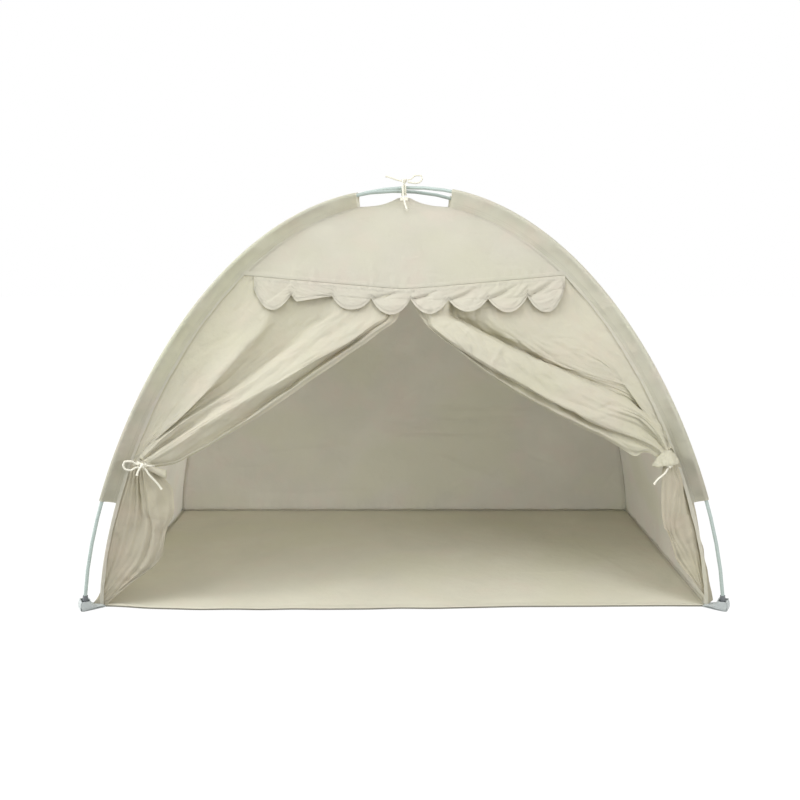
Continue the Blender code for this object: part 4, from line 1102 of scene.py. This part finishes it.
def make_skirt(label, side, folds, foot, tie, look, seed):
    """The cloth under the tie: a strip that stays sewn to the ridge and a tail that hangs free."""
    lines = [ridge_line(side, TIE_HEIGHT + SKIRT_OVER_TIE, SKIRT_FOOT, RIDGE_SEAM_INSET)]
    lines += [on_front(marks) for marks in folds]
    grid = fold_surface(lines, SKIRT_ROWS, SKIRT_COLUMNS)
    u, v = own_lengths(grid)
    share, columns = shares(grid)
    edges = smooth_step(share / 0.05) * smooth_step((1 - share) / 0.1) * smooth_step(columns / 0.12)
    width = columns * 0.2 + 0 * share
    fan = ripples(width, v * 0.3, seed, wavelength=0.028, along=math.pi / 2, spread=0.15)
    relief = 0.0016 * fan * (1 - share) ** 0.5
    relief += creases(
        u, v, seed + 1, count=26, length=0.07, width=0.0035, height=0.0018, along=1.0, spread=0.5,
    )
    relief += 0.0009 * ripples(u, v, seed + 2, wavelength=0.05)
    grid = raised(grid, relief * edges)
    sunk = np.minimum(grid[..., 2] - SKIRT_REST, 0)
    eased = SKIRT_LOWEST + (SKIRT_REST - SKIRT_LOWEST) * np.exp(sunk / SKIRT_FADE)
    grid[..., 2] = np.where(sunk < 0, eased, grid[..., 2])
    along = (tie - foot).normalized()
    inward = Vector((-side, 0, 0))
    inward = (inward - along * inward.dot(along)).normalized()
    middle = (tie + foot) / 2
    swing = (f"{label}_curtain_tail", middle - inward * TAIL_BLEND_BEFORE, middle + inward * TAIL_BLEND_AFTER)
    cloth(
        f"{label}_skirt_cloth", grid, look, "gathered", [f"{label}_tie_cord_wrap"],
        node=f"{label}_curtain_tail", swing=swing,
    )


# The tongue of the left curtain beside its knot, along marks like the fold lines'
NUB_MARKS = ((147, 467.5, 14), (152, 469.5, 17), (157, 471.5, 18), (162, 473.5, 17), (166, 475, 15))
NUB_ROWS = 30
NUB_COLUMNS = 40
# The collar over the right tie: share of its length down, share of its reach, height in mm
COLLAR_SECTION = np.array([
    [0, 0.16, 37], [0.25, 0.34, 35], [0.5, 0.66, 25], [0.74, 0.98, 9], [0.82, 1.0, 6], [0.90, 0.92, 4],
    [1, 0.45, 6],
])
COLLAR_REACH = 0.0335
COLLAR_DROP = 0.004


def make_nub(look):
    """A tongue of the left curtain that pokes out beside its knot, open at its end."""
    path = resample(on_front(NUB_MARKS), NUB_ROWS)
    share = np.linspace(0, 1, NUB_ROWS)[:, None]
    radius = 0.0035 + 0.0068 * share**0.7
    turn = np.radians(np.linspace(-40, 245, NUB_COLUMNS))[None]
    up = np.array([0, 0, 1.0])
    over = np.cross(np.gradient(path, axis=0), up)
    over /= np.linalg.norm(over, axis=1, keepdims=True)
    ripple = 1 + 0.10 * np.sin(3 * turn + 2) * share + 0.05 * np.sin(7 * turn) * share
    grid = path[:, None] + (radius * ripple)[..., None] * (
        over[:, None] * np.cos(turn)[..., None] + up[None, None] * np.sin(turn)[..., None]
    )
    cloth(
        "left_curtain_nub", grid, look, "gathered", ["left_tie_cord_wrap"],
        swing=("left_curtain_tail", path[0], path[-1]), thickness=1.2 * MM,
    )


def make_collar(look):
    """Slack of the right curtain that hangs over its tie like a small hood, wider on the door's side."""
    turn = np.radians(np.linspace(-125, 100, 150))[None]
    share = np.linspace(0, 1, 56)[:, None]
    section = through(COLLAR_SECTION[:, 0], COLLAR_SECTION[:, 1:], share[:, 0])
    lip = COLLAR_REACH - 0.0050 * np.sin(turn) + 0.0015 * np.sin(3.1 * turn + 0.5)
    wave = 0.045 * np.sin(5.3 * turn + 1) + 0.03 * np.sin(9 * turn)
    wave = 1 + wave * np.sin(math.pi * np.clip(share, 0, 1)) ** 0.7
    back = np.clip((np.abs(turn) - 1.2) / 0.9, 0, 1)
    out = section[:, :1] * lip * wave * (1 - 0.35 * back)
    up = section[:, 1:] * MM + 0.0055 * np.sin(turn) * share - 0.004 * back * share
    up = up + 0.0022 * np.sin(2.3 * turn + 2) * share
    grid = np.stack([
        RIGHT_TIE.x + 0.002 * (1 - share) + out * np.sin(turn),
        RIGHT_TIE.y - out * np.cos(turn) - COLLAR_DROP,
        RIGHT_TIE.z - COLLAR_DROP + up,
    ], axis=-1)
    u, v = own_lengths(grid)
    grid = raised(grid, 0.0011 * crumple(u, v, 71, size=0.03) * smooth_step(share / 0.2))
    cloth("right_curtain_collar", grid, look, "gathered", ["right_tie_cord_wrap"], thickness=1.1 * MM)


# Valance: pixels of the notches along its scalloped edge and of each lobe's lowest row

NOTCHES = ((254, 289), (291, 295), (332, 296), (371.2, 298.5), (410.5, 299), (448.5, 299.8), (488, 298.8),
           (527.5, 296.5), (565, 287))
LOBES = (310, 300.6, 309.5, 314.5, 314, 311.7, 312.2, 312)
LOBE_STAND = (5, 2, 4, 9, 8, 7.5, 7.5, 7.5)
LOBE_ROUNDNESS = (2.1, 7, 2.5, 2.2, 2.1, 2.1, 2.1, 2.3)
VALANCE_COLUMNS = 26
VALANCE_ROWS = 48
VALANCE_MIDDLE = 404
VALANCE_TOP_ROW = 288.7
VALANCE_TOP_SLOPE = 0.0885
VALANCE_TOP_ROUNDING = 12
VALANCE_STAND = 0.0018
FLAP_LOBE = 1
VALANCE_AXIS = Vector((0, -0.24273, 0.793912))
VALANCE_DOWN = Vector((0, -0.42, -0.907))
VALANCE_BLEND_BEFORE = 0.018
VALANCE_BLEND_AFTER = 0.046


def valance_seam_row(pixel_x):
    """The photograph's row of the valance's top edge at a column."""
    bend = np.sqrt((pixel_x - VALANCE_MIDDLE) ** 2 + VALANCE_TOP_ROUNDING**2) - VALANCE_TOP_ROUNDING
    return VALANCE_TOP_ROW - VALANCE_TOP_SLOPE * bend


def make_valance(look):
    """A gathered strip of eight scallops, each bent a little along the line of its notches."""
    place = np.linspace(0, len(LOBES), len(LOBES) * VALANCE_COLUMNS + 1)
    cell = np.minimum(place.astype(int), len(LOBES) - 1)
    lobe = 2 * (place - cell) - 1
    lowest, stand, roundness = np.array([LOBES, LOBE_STAND, LOBE_ROUNDNESS], float)[:, cell]
    column, notch_row = through(np.arange(len(NOTCHES), dtype=float), NOTCHES, place).T
    bottom = notch_row + (lowest - notch_row) * (1 - np.abs(lobe) ** roundness)
    flap = notch_row + 6.5 * smooth_step((lobe + 1) / 0.30) * (1 - lobe) / 1.75
    bottom = np.where(cell == FLAP_LOBE, flap, bottom)
    seam_row = valance_seam_row(column)
    rows = [seam_point(column, VALANCE_STAND)]
    for share in np.linspace(0, 1, VALANCE_ROWS)[1:]:
        row = seam_row + (bottom - seam_row) * share
        level = (row - seam_row) / (notch_row - seam_row)
        above, below = np.clip(level, 0, 1), np.clip(level - 1, 0, None)
        depth = 2 + 5.0 * above + stand * np.clip(below * 1.6, 0, 1)
        depth -= 3.0 * np.exp(-((1 - np.abs(lobe)) / 0.14) ** 2) * above**2
        depth += 1.2 * np.cos(math.pi * lobe) * above**2
        rows.append(on_front(np.stack([column, row, depth], axis=1)))
    grid = np.stack(rows)
    grid = raised(grid, valance_relief(grid, place, cell, level))
    before, after = VALANCE_DOWN * VALANCE_BLEND_BEFORE, VALANCE_DOWN * VALANCE_BLEND_AFTER
    cloth(
        "valance_cloth", grid, look, "hung", ["gable_cloth"], node="door_valance", slot="valance_cotton",
        swing=("door_valance", VALANCE_AXIS + before, VALANCE_AXIS + after), thickness=1.1 * MM,
    )


def valance_relief(grid, place, cell, last_level):
    """Pinched pleats that rise from the notches, a first lobe folded over and fine gathers.

    last_level is how far the bottom edge hangs in each column, where the notches are at 1.
    """
    u, v = own_lengths(grid)
    share = shares(grid)[0]
    level = share * last_level[None]
    local = (place - cell)[None]
    relief = 0.0009 * crumple(u, v, 41, size=0.05) + creases(
        u, v, 42, count=40, length=0.05, width=0.0025, height=0.0014, along=0.9, spread=0.9,
    )
    stroke = level - (1.0 - 1.05 * local)
    below = np.clip(stroke, 0, None) / np.maximum(1.05 * local, 0.12)
    pleat = np.where(stroke < 0, np.exp(np.minimum(stroke, 0) / 0.035), np.clip(1 - below, 0, 1))
    strength = smooth_step(local / 0.10) * smooth_step((0.85 - local) / 0.55) * (cell > 2)[None]
    relief -= 0.0080 * pleat * strength
    relief -= 0.0016 * np.exp(-(((level - 1.0) / 0.05) ** 2)) * (cell != 0)[None]
    first = level - (0.2 + 2.3 * (1 - local))
    turned = np.where(first < 0, np.exp(np.minimum(first, 0) / 0.7), np.exp(-first / 0.06))
    relief -= 0.0042 * turned * (cell == 0)[None]
    relief += puckers(u, v, 43, wavelength=0.017, height=0.0008, decay=0.016)
    return relief * smooth_step(share / 0.10)


# Sleeves and pockets

SLEEVE_ROUND = 0.0068
SLEEVE_HEEL = 0.0352
SLEEVE_OVERLAP = 0.0006
SLEEVE_EDGE = 0.0008
SLEEVE_THINNEST = 0.0003
SLEEVE_PLIES = (0.0, 0.0007)
SLEEVE_ROWS = 190
SLEEVE_GIRTH = 0.09
FLUTTER_WAVES = (0.21, 0.12, 0.07, 0.041, 0.026)
FLUTTER_SHARE = 0.011
# Half a sleeve's section under its round: places in from the pole and across
SLEEVE_FLANK = (
    (-0.0060, 0.0052), (-0.0105, 0.0038), (-0.0150, 0.0028), (-0.0200, 0.0021), (-0.0250, 0.0017),
    (-0.0300, 0.0014), (-SLEEVE_HEEL, 0.0012),
)


def across_plane(corner):
    """The level direction across the upright diagonal plane through a floor corner."""
    return np.array([-corner[1] * HALF_DEPTH, corner[0] * HALF_WIDTH, 0]) / HALF_DIAGONAL


def sleeve_section(shrink):
    """Half of a sleeve's section, from its round over the pole down to the seam: places in and across."""
    radius = SLEEVE_ROUND - shrink
    spots = [(radius * math.cos(a), radius * math.sin(a)) for a in np.radians(np.linspace(0, 108, 11))]
    return np.array(spots + [(away, max(across - shrink, SLEEVE_THINNEST)) for away, across in SLEEVE_FLANK])


def make_sleeve(name, look, seed):
    """The flat sleeve that stands out from a ridge seam, with a stitched channel for its pole."""
    corner = CORNERS[name]
    low, high = angle_at_height(SLEEVE_FOOT_HEIGHT), angle_at_reach(SLEEVE_CROWN_REACH_SHARE)
    angles = even_angles(HALF_DIAGONAL, float(low), float(high), SLEEVE_ROWS)
    centre, seam = pole_line(corner, POLE_LIFTS[name], angles)
    outward = centre - seam
    reach = np.linalg.norm(outward, axis=1, keepdims=True)
    outward /= reach
    sideways = across_plane(corner)
    length = chords(seam)
    random = np.random.RandomState(seed)
    flutter = np.zeros_like(length)
    for wavelength in FLUTTER_WAVES:
        phase = random.uniform(0, 6)
        flutter += wavelength * FLUTTER_SHARE * np.sin(2 * math.pi * length / wavelength + phase)
    pinch = 0.0004 * np.sin(2 * math.pi * length / 0.019) + 0.0003 * np.sin(2 * math.pi * length / 0.0071)
    plies = []
    for shrink in SLEEVE_PLIES:
        half = sleeve_section(shrink)
        section = np.concatenate([half, half[:0:-1] * [1, -1]])
        away = np.clip(-section[:, 0] / POLE_TO_SEAM, 0, 1)
        bend = np.sin(math.pi * away)[None] * flutter[:, None] + 0 * away
        swell = 1 + np.where(np.abs(section[:, 1]) > 0.004, 1, 0)[None] * (pinch[:, None] / SLEEVE_ROUND)
        stretch = (reach + SLEEVE_OVERLAP) / SLEEVE_HEEL
        inward = np.where(section[:, 0] < 0, section[:, 0] * stretch, section[:, 0] * swell)
        points = centre[:, None] + outward[:, None] * inward[..., None]
        across = section[None, :, 1] * swell + bend
        plies.append(points + sideways[None, None] * across[..., None])
    outer, inner = plies
    rings = np.concatenate([outer, inner[::-1]])
    obj = ring_mesh(f"{name}_sleeve_cloth", rings, look, closed=True)
    away = np.tile(SLEEVE_HEEL + SLEEVE_EDGE + np.minimum(section[:, 0], 0), len(rings))
    along = np.repeat(np.concatenate([length, length[::-1]]), outer.shape[1])
    girth = np.tile(np.linspace(0, SLEEVE_GIRTH, outer.shape[1]), len(rings))
    set_map(obj.data, "weave", np.stack([girth, along], axis=1))
    set_map(obj.data, "edge", np.stack([along, away], axis=1))
    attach(obj, "root")
    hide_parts(f"{name}_sleeve")


def tape(name, path, width_axis, look, half_width, thickness):
    """A flat tape along a path, with its width along one axis."""
    path = resample(path, 60)
    along = np.gradient(path, axis=0)
    along /= np.linalg.norm(along, axis=1, keepdims=True)
    thin = np.cross(along, width_axis)
    thin /= np.linalg.norm(thin, axis=1, keepdims=True)
    turn = np.linspace(0, 2 * math.pi, 28, endpoint=False)
    flat = np.sign(np.cos(turn)) * np.abs(np.cos(turn)) ** 0.5 * half_width
    deep = np.sign(np.sin(turn)) * np.abs(np.sin(turn)) ** 0.7 * thickness / 2
    rings = path[:, None] + width_axis[None, None] * flat[None, :, None] + thin[:, None] * deep[None, :, None]
    return ring_mesh(name, rings, look)


# The pockets' tapes and cheeks, as places out from the floor's corner and up
POCKET_PATH = (
    (-0.010, 0.0040), (0.004, 0.0034), (0.024, 0.0022), (0.041, 0.0018), (0.0475, 0.0032), (0.0490, 0.0085),
    (0.0478, 0.018), (0.0452, 0.0262),
)
POCKET_INNER_PATH = ((-0.006, 0.0072), (0.006, 0.0074), (0.016, 0.0100), (0.0225, 0.0165), (0.0246, 0.0248))
POCKET_CHEEK_OUTER = ((0.044, 0.0035), (0.0470, 0.0065), (0.0476, 0.016), (0.0450, 0.0255))
POCKET_CHEEK_STAND = 0.0150
POCKET_CHEEK_BULGE = 0.0012
POCKET_CHEEK_COLUMNS = 14


def make_pocket(name, look):
    """A corner pocket: tape folded under and up round the pole's tip, closed at its two sides."""
    corner = CORNERS[name]
    sideways = across_plane(corner)

    def place(spots):
        spots = np.array(spots)
        return in_plane(corner, HALF_DIAGONAL + spots[:, 0], spots[:, 1])

    outer = tape(f"{name}_tape", place(POCKET_PATH), sideways, look, half_width=0.0155, thickness=0.0022)
    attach(outer, "root")
    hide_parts(f"{name}_pocket")
    inner_path = place(POCKET_INNER_PATH)
    inner = tape(f"{name}_inner_tape", inner_path, sideways, look, half_width=0.0150, thickness=0.0020)
    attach(inner, "root")
    bulge = np.sin(np.linspace(0, math.pi, POCKET_CHEEK_COLUMNS)) * POCKET_CHEEK_BULGE
    for label, sign in (("a", -1), ("b", 1)):
        stand = sideways[None] * (sign * (POCKET_CHEEK_STAND + bulge))[:, None]
        rows = [
            place(np.linspace(low, high, POCKET_CHEEK_COLUMNS)) + stand
            for low, high in zip(POCKET_INNER_PATH[1:], POCKET_CHEEK_OUTER)
        ]
        cloth(
            f"{name}_cheek_{label}", np.stack(rows), look, "folded", [f"{name}_tape"], slot="webbing",
            thickness=1.6 * MM,
        )


# Ties: routes from a knot outwards, as places to the side, back and up

LEFT_LOOP_ROUTE = (
    (0.0100, 0.000, 0.0032), (0.016, -0.001, 0.005), (0.028, -0.004, 0.012), (0.040, -0.006, 0.012),
    (0.046, -0.006, 0.002), (0.041, -0.005, -0.008), (0.030, -0.005, -0.010), (0.018, -0.001, -0.005),
    (0.0100, 0.000, -0.0032),
)
LEFT_LONG_TAIL_ROUTE = (
    (-0.0040, -0.002, -0.0060), (-0.0080, -0.001, -0.0115), (-0.012, -0.002, -0.019),
    (-0.021, -0.003, -0.029), (-0.033, -0.004, -0.042), (-0.044, -0.004, -0.058),
)
LEFT_SHORT_TAIL_ROUTE = (
    (-0.002, -0.0015, 0.0030), (0.0015, -0.0065, 0.0010), (0.0045, -0.0105, -0.0030),
    (0.0075, -0.0140, -0.0090), (0.0100, -0.0160, -0.0155), (0.0110, -0.0165, -0.0205),
)
RIGHT_TAIL_ROUTE = (
    (-0.0030, -0.001, -0.0060), (-0.0060, 0.000, -0.0115), (-0.010, -0.001, -0.018),
    (-0.019, -0.002, -0.026), (-0.029, -0.002, -0.035), (-0.036, -0.002, -0.046),
)
CROWN_LOOP_ROUTE = (
    (0.0100, 0.000, 0.0032), (0.017, -0.001, 0.005), (0.033, -0.002, 0.015), (0.044, -0.002, 0.015),
    (0.049, -0.002, 0.006), (0.043, -0.002, -0.003), (0.031, -0.002, -0.006), (0.018, -0.001, -0.0042),
    (0.0100, 0.000, -0.0032),
)
CROWN_UP_TAIL_ROUTE = (
    (-0.0040, 0.000, 0.000), (-0.0100, 0.000, 0.001), (-0.019, -0.001, 0.003), (-0.034, -0.003, 0.008),
    (-0.050, -0.003, 0.013),
)
CROWN_DOWN_TAIL_ROUTE = (
    (-0.003, -0.0040, 0.002), (-0.003, -0.0068, -0.001), (-0.004, -0.014, -0.006), (-0.004, -0.021, -0.020),
    (-0.002, -0.029, -0.040), (0.001, -0.042, -0.055), (0.004, -0.070, -0.068), (0.008, -0.096, -0.081),
)

# Name and node of each free cord, its knot, side and route, the body that it hangs with, its far end
FREE_CORDS = (
    ("left_tie_cord_loop", "left_tie_loop", LEFT_KNOT, -1, LEFT_LOOP_ROUTE, "root", "knot"),
    ("left_tie_cord_long_end", "left_tie_long_tail", LEFT_KNOT, -1, LEFT_LONG_TAIL_ROUTE, "left_curtain_tail",
     "bare"),
    ("left_tie_cord_short_end", "left_tie_short_tail", LEFT_KNOT, -1, LEFT_SHORT_TAIL_ROUTE, "root", "bare"),
    ("right_tie_cord_end", "right_tie_tail", RIGHT_KNOT, 1, RIGHT_TAIL_ROUTE, "right_curtain_tail", "bare"),
    ("crown_tie_cord_loop", "crown_tie_loop", CROWN_KNOT, 1, CROWN_LOOP_ROUTE, "root", "knot"),
    ("crown_tie_cord_upper_end", "crown_tie_up_tail", CROWN_KNOT, 1, CROWN_UP_TAIL_ROUTE, "root", "bare"),
    ("crown_tie_cord_lower_end", "crown_tie_down_tail", CROWN_KNOT, 1, CROWN_DOWN_TAIL_ROUTE, "root", "bare"),
)
KNOT_TURNS = 2.4
KNOT_HALF = 0.0058
KNOT_DEPTH = 0.0036
KNOT_RISE = 0.0046
KNOT_CORD = 0.0046
KNOT_CORE_CORD = 0.0052
KNOT_CORE_LENGTH = 0.015
WRAP_END_DEGREES = 146
CROWN_CORD = 0.0047
# The wrap starts above the part's, because the crown's cloth is drawn up to the poles
CROWN_WRAP_LOW = 1.019
CROWN_WRAP_HALF = 0.0138
CROWN_WRAP_PITCH = 0.0056
STRAP_HALF_SIZE = (0.011, 0.019)
STRAP_LIFT = 0.0011


def make_free_cord(name, node, knot, side, route, body, far_end, look):
    """One free end or loop of a bow."""
    points = np.array([(knot.x + side * out, knot.y + back, knot.z + up) for out, back, up in route])
    path = resample(points, max(SHORTEST_CORD_POINTS, round(chords(points)[-1] / CORD_STEP)))
    end_flare = CORD_END_FLARE if far_end == "bare" else 0
    obj = ring_mesh(name, rope_rings(path, CORD_DIAMETER, end_flare), look)
    if body == "root":
        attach(obj, body)
    else:
        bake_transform(obj)
    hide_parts(node)


def make_tight_cord(name, path, diameter, look, node=None):
    """A cord that is wound tight and held."""
    obj = ring_mesh(name, rope_rings(path, diameter), look)
    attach(obj, "root")
    if node:
        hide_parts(node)


def make_knot(label, centre, look):
    """A knot of cord: flattened turns round the bow's strands, with one strand crossing in front."""
    t = np.linspace(0, 1, 120)
    angle = 2 * math.pi * KNOT_TURNS * t
    coil = np.stack([
        centre.x + (t - 0.5) * KNOT_HALF * 2 + 0.0012 * np.sin(angle * 0.5),
        centre.y + KNOT_DEPTH * np.cos(angle),
        centre.z + KNOT_RISE * np.sin(angle) + 0.0008 * np.sin(angle * 0.37),
    ], axis=1)
    core = np.stack([
        centre.x + (t - 0.5) * KNOT_CORE_LENGTH, centre.y + 0 * t, centre.z + 0.0006 * np.sin(6 * t),
    ], axis=1)
    make_tight_cord(f"{label}_cord_knot", coil, KNOT_CORD, look, f"{label}_knot")
    make_tight_cord(f"{label}_cord_knot_core", core, KNOT_CORE_CORD, look)


def make_side_wrap(label, side, tie, tilt, look):
    """The cord round the gathered curtain, sewn to the ridge seam at both ends."""
    angles = np.radians(np.linspace(WRAP_END_DEGREES, -WRAP_END_DEGREES, 90))
    out = WRAP_RADIUS * np.cos(angles) * -side
    back = WRAP_RADIUS * np.sin(angles)
    ring = np.stack([tie.x + out, tie.y + back, tie.z + tilt * out * side], axis=1)
    make_tight_cord(f"{label}_tie_cord_wrap", resample(ring, 120), CORD_DIAMETER, look, f"{label}_tie_wrap")


def squared(value):
    """Makes a round turn squarer."""
    return np.sign(value) * np.abs(value) ** 0.5


def make_crown_wrap(look):
    """Two turns of cord round the crossed poles, and the tab under them."""
    middle, rise = (CROWN_WRAP_LOW + CROWN_WRAP_HIGH) / 2, (CROWN_WRAP_HIGH - CROWN_WRAP_LOW) / 2
    angle = np.linspace(0, 4 * math.pi, 200)
    path = np.stack([
        CROWN_WRAP_PITCH * (angle / (2 * math.pi) - 1), CROWN_WRAP_HALF * squared(np.sin(angle)),
        middle - rise * squared(np.cos(angle)),
    ], axis=1)
    make_tight_cord("crown_tie_cord_wrap", resample(path, 200), CROWN_CORD, look, "crown_tie_wrap")
    half_x, half_y = STRAP_HALF_SIZE
    x, y = np.meshgrid(np.linspace(-half_x, half_x, 24), np.linspace(-half_y, half_y, 36))
    reach = np.maximum(np.maximum(np.abs(x) / HALF_WIDTH, np.abs(y) / HALF_DEPTH), CROWN_HOLE_SHARE)
    height = CANOPY_HEIGHT * arch(angle_at_reach(reach))[1] + crown_lift(reach) + STRAP_LIFT
    strap = np.stack([x, y, height], axis=-1)
    cloth(
        "crown_tie_strap", strap, look, "stretched", ["gable_cloth"], node="crown_tie_tab",
        thickness=1.2 * MM,
    )


def make_ties(look):
    make_side_wrap("left", -1, LEFT_TIE, 0.28, look)
    make_side_wrap("right", 1, RIGHT_TIE, 0.1, look)
    for label, knot in (("left_tie", LEFT_KNOT), ("right_tie", RIGHT_KNOT), ("crown_tie", CROWN_KNOT)):
        make_knot(label, knot, look)
    for settings in FREE_CORDS:
        make_free_cord(*settings, look)
    make_crown_wrap(look)


# Stage

WHITE = (1, 1, 1, 1)
WORLD_LIGHT = 0.58
GROUND_HALF = 14.0
GROUND_COLOUR = (0.42, 0.42, 0.41)
GROUND_WHITE = 1.15
GROUND_WHITE_SHARE = 0.84
# Name, place, aim, size, power and colour
LAMPS = (
    ("key", (1.1, -1.9, 2.7), (0.1, 0, 0.4), (1.8, 1.4), 13, (0.990, 0.985, 0.985)),
    ("low_key", (2.2, -2.6, 1.25), (-0.4, 0, 0.25), (1.4, 1.2), 37, (0.990, 0.985, 0.99)),
    ("top", (0.0, 0.0, 3.0), (0, 0, 0.5), (2.2, 2.0), 20, (1.0, 1.0, 0.99)),
    ("front", (0.0, -3.4, 0.8), (0, 0, 0.4), (2.4, 1.2), 8, (1.0, 0.99, 0.98)),
    ("side", (-2.8, -0.6, 1.4), (0, 0, 0.5), (1.6, 1.4), 62, (0.98, 0.99, 1.0)),
    ("left", (-1.8, -1.7, 2.7), (0.2, 0, 0.5), (1.6, 1.4), 24, (0.955, 0.985, 1.0)),
)


def make_ground():
    """A pale floor that shows white to the camera and keeps a soft shadow."""
    nodes = new_material("ground")
    white = nodes.add("ShaderNodeEmission", {"Color": WHITE, "Strength": GROUND_WHITE})
    nodes.mix_in(nodes.times(nodes.seen_directly(), GROUND_WHITE_SHARE), white)
    look = nodes.finish({"Base Color": shade(GROUND_COLOUR, 1), "Roughness": 0.9})
    mesh = bpy.data.meshes.new("ground")
    corners = [(x * GROUND_HALF, y * GROUND_HALF, 0) for x, y in ((-1, -1), (1, -1), (1, 1), (-1, 1))]
    mesh.from_pydata(corners, [], [(0, 1, 2, 3)])
    mesh.materials.append(look)
    add_object("ground", mesh)


def make_world():
    """A white world that gives less light than it shows."""
    world = bpy.data.worlds.new("studio")
    bpy.context.scene.world = world
    nodes = Nodes(world)
    background = nodes.tree.nodes["Background"]
    seen = nodes.seen_directly()
    strength = nodes.add("ShaderNodeMapRange", {"Value": seen, "To Min": WORLD_LIGHT, "To Max": 1.0})
    nodes.feed(background.inputs["Color"], WHITE)
    nodes.feed(background.inputs["Strength"], strength.outputs[0])


def make_lamps():
    for name, place, aim, size, power, colour in LAMPS:
        data = bpy.data.lights.new(name, "AREA")
        data.shape = "RECTANGLE"
        data.size, data.size_y = size
        data.energy = power
        data.color = colour
        lamp = add_object(name, data)
        lamp.location = place
        lamp.rotation_euler = (Vector(aim) - Vector(place)).to_track_quat("-Z", "Y").to_euler()


def make_camera():
    data = bpy.data.cameras.new("view")
    data.lens = CAMERA_LENS
    data.sensor_width = SENSOR_WIDTH
    data.shift_x = CAMERA_SHIFT
    camera = add_object("view", data)
    camera.location = CAMERA_PLACE
    camera.rotation_euler = (math.pi / 2 - CAMERA_TILT, 0, 0)
    bpy.context.scene.camera = camera


# Colours: red, green, blue
CANOPY_COLOUR = (0.750, 0.728, 0.625)
CURTAIN_COLOUR = (0.693, 0.670, 0.570)
# Darker than the curtains' own cloth: painted shade on the door's low corners.
SKIRT_SHADED_COLOUR = (0.640, 0.605, 0.500)
# Lighter than the canopy's cloth that the sleeves are made of: painted light on the sleeves.
SLEEVE_LIT_COLOUR = (0.790, 0.777, 0.685)
FLOOR_COLOUR = (0.64, 0.615, 0.50)
# Darker than the canopy's cloth: painted shade of the valance's pleats.
VALANCE_SHADED_COLOUR = (0.645, 0.617, 0.520)
CORD_COLOUR = (0.80, 0.775, 0.66)
TAPE_COLOUR = (0.54, 0.58, 0.57)
POLE_COLOUR = (0.40, 0.47, 0.44)
STEEL_COLOUR = (0.60, 0.61, 0.62)
TIP_COLOUR = (0.16, 0.17, 0.18)
ELASTIC_COLOUR = (0.84, 0.84, 0.82)


def dress_nodes(nodes):
    """Better finishes for the poles' own parts."""
    tip_streak, braid_streak = (30.0, 30.0, 30.0), (90.0, 90.0, 30.0)
    looks = {
        "_section_": hard_finish("pole_glass_fibre", POLE_COLOUR, 0.36),
        "_ferrule_": hard_finish("ferrule_drawn_steel", STEEL_COLOUR, 0.30, metallic=1.0),
        "_tip": hard_finish("tip_nylon", TIP_COLOUR, 0.50, streak=tip_streak, depth=0.0001),
        "_shock_cord": hard_finish("elastic_braid", ELASTIC_COLOUR, 0.75, streak=braid_streak, depth=0.0003),
    }
    for name, obj in nodes.items():
        for mark, look in looks.items():
            if mark in name and name.split("_")[1] == "pole":
                for slot in obj.material_slots:
                    slot.material = look


def make_canopy(canopy, floor_look, sleeve_painted_light_look, tape_look):
    """Walls, floor, seams, sleeves and corner pockets."""
    for settings in WALLS:
        make_wall(*settings, canopy)
    make_gable(canopy)
    make_floor(floor_look)
    make_seam_flaps(canopy)
    for k, name in enumerate(CORNERS):
        make_sleeve(name, sleeve_painted_light_look, 500 + k)
        make_pocket(name, tape_look)
    make_ridge_binding("left", -1, canopy)
    make_ridge_binding("right", 1, canopy)
    make_door_binding(canopy)


def make_door(curtain_look, skirt_shaded_look, valance_shaded_look):
    """Both curtains down to the floor, and the valance over them."""
    make_curtain(
        "left", -1, LEFT_CURTAIN_FOLDS, curtain_look, seed=61, flat_strength=0.6, fold_strength=0.8,
    )
    make_curtain(
        "right", 1, RIGHT_CURTAIN_FOLDS, curtain_look, seed=81, flat_strength=0.7, fold_strength=1.45,
    )
    make_skirt("left", -1, LEFT_SKIRT_FOLDS, LEFT_FOOT, LEFT_TIE, skirt_shaded_look, seed=91)
    make_skirt("right", 1, RIGHT_SKIRT_FOLDS, RIGHT_FOOT, RIGHT_TIE, skirt_shaded_look, seed=95)
    make_valance(valance_shaded_look)
    make_nub(curtain_look)
    make_collar(curtain_look)


def main():
    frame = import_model()
    make_camera()
    make_ground()
    make_world()
    make_lamps()
    canopy = cotton("canopy_cotton_cloth", CANOPY_COLOUR, glow=(0.99, 1.0, 1.10))
    curtain_look = cotton(
        "curtain_cotton_cloth", CURTAIN_COLOUR, see_through=0.33, glow=(1.0, 0.95, 0.50), crinkle=1.5,
    )
    # The floor's rim is painted dark: a painted shadow line under its front hem.
    floor_look = cotton("floor_cotton_cloth", FLOOR_COLOUR, see_through=0.0, crinkle=0.8, edge=(0.30, 0.95))
    # The valance's cloth is painted darker as the shade of its pleats.
    valance_shaded_look = cotton("valance_shaded_cotton_cloth", VALANCE_SHADED_COLOUR, see_through=0.25)
    # The sleeves' cloth is painted lighter, and darker near the ground as painted shade.
    sleeve_painted_light_look = cotton("sleeve_painted_light_cotton_cloth", SLEEVE_LIT_COLOUR, see_through=0.56, foot=(0.84, 0.28, 0.52))
    # The skirts' cloth is the curtains', painted darker as shade.
    skirt_shaded_look = cotton(
        "skirt_shaded_cotton_cloth", SKIRT_SHADED_COLOUR, see_through=0.40, glow=(1.0, 0.96, 0.74), crinkle=1.25,
    )
    cord_look = cord_cotton("tie_cord_cotton", CORD_COLOUR)
    tape_look = webbing("pocket_webbing", TAPE_COLOUR)
    dress_nodes(frame["nodes"])
    make_ties(cord_look)
    make_canopy(canopy, floor_look, sleeve_painted_light_look, tape_look)
    make_door(curtain_look, skirt_shaded_look, valance_shaded_look)
    bpy.context.scene.view_settings.view_transform = "Standard"


main()
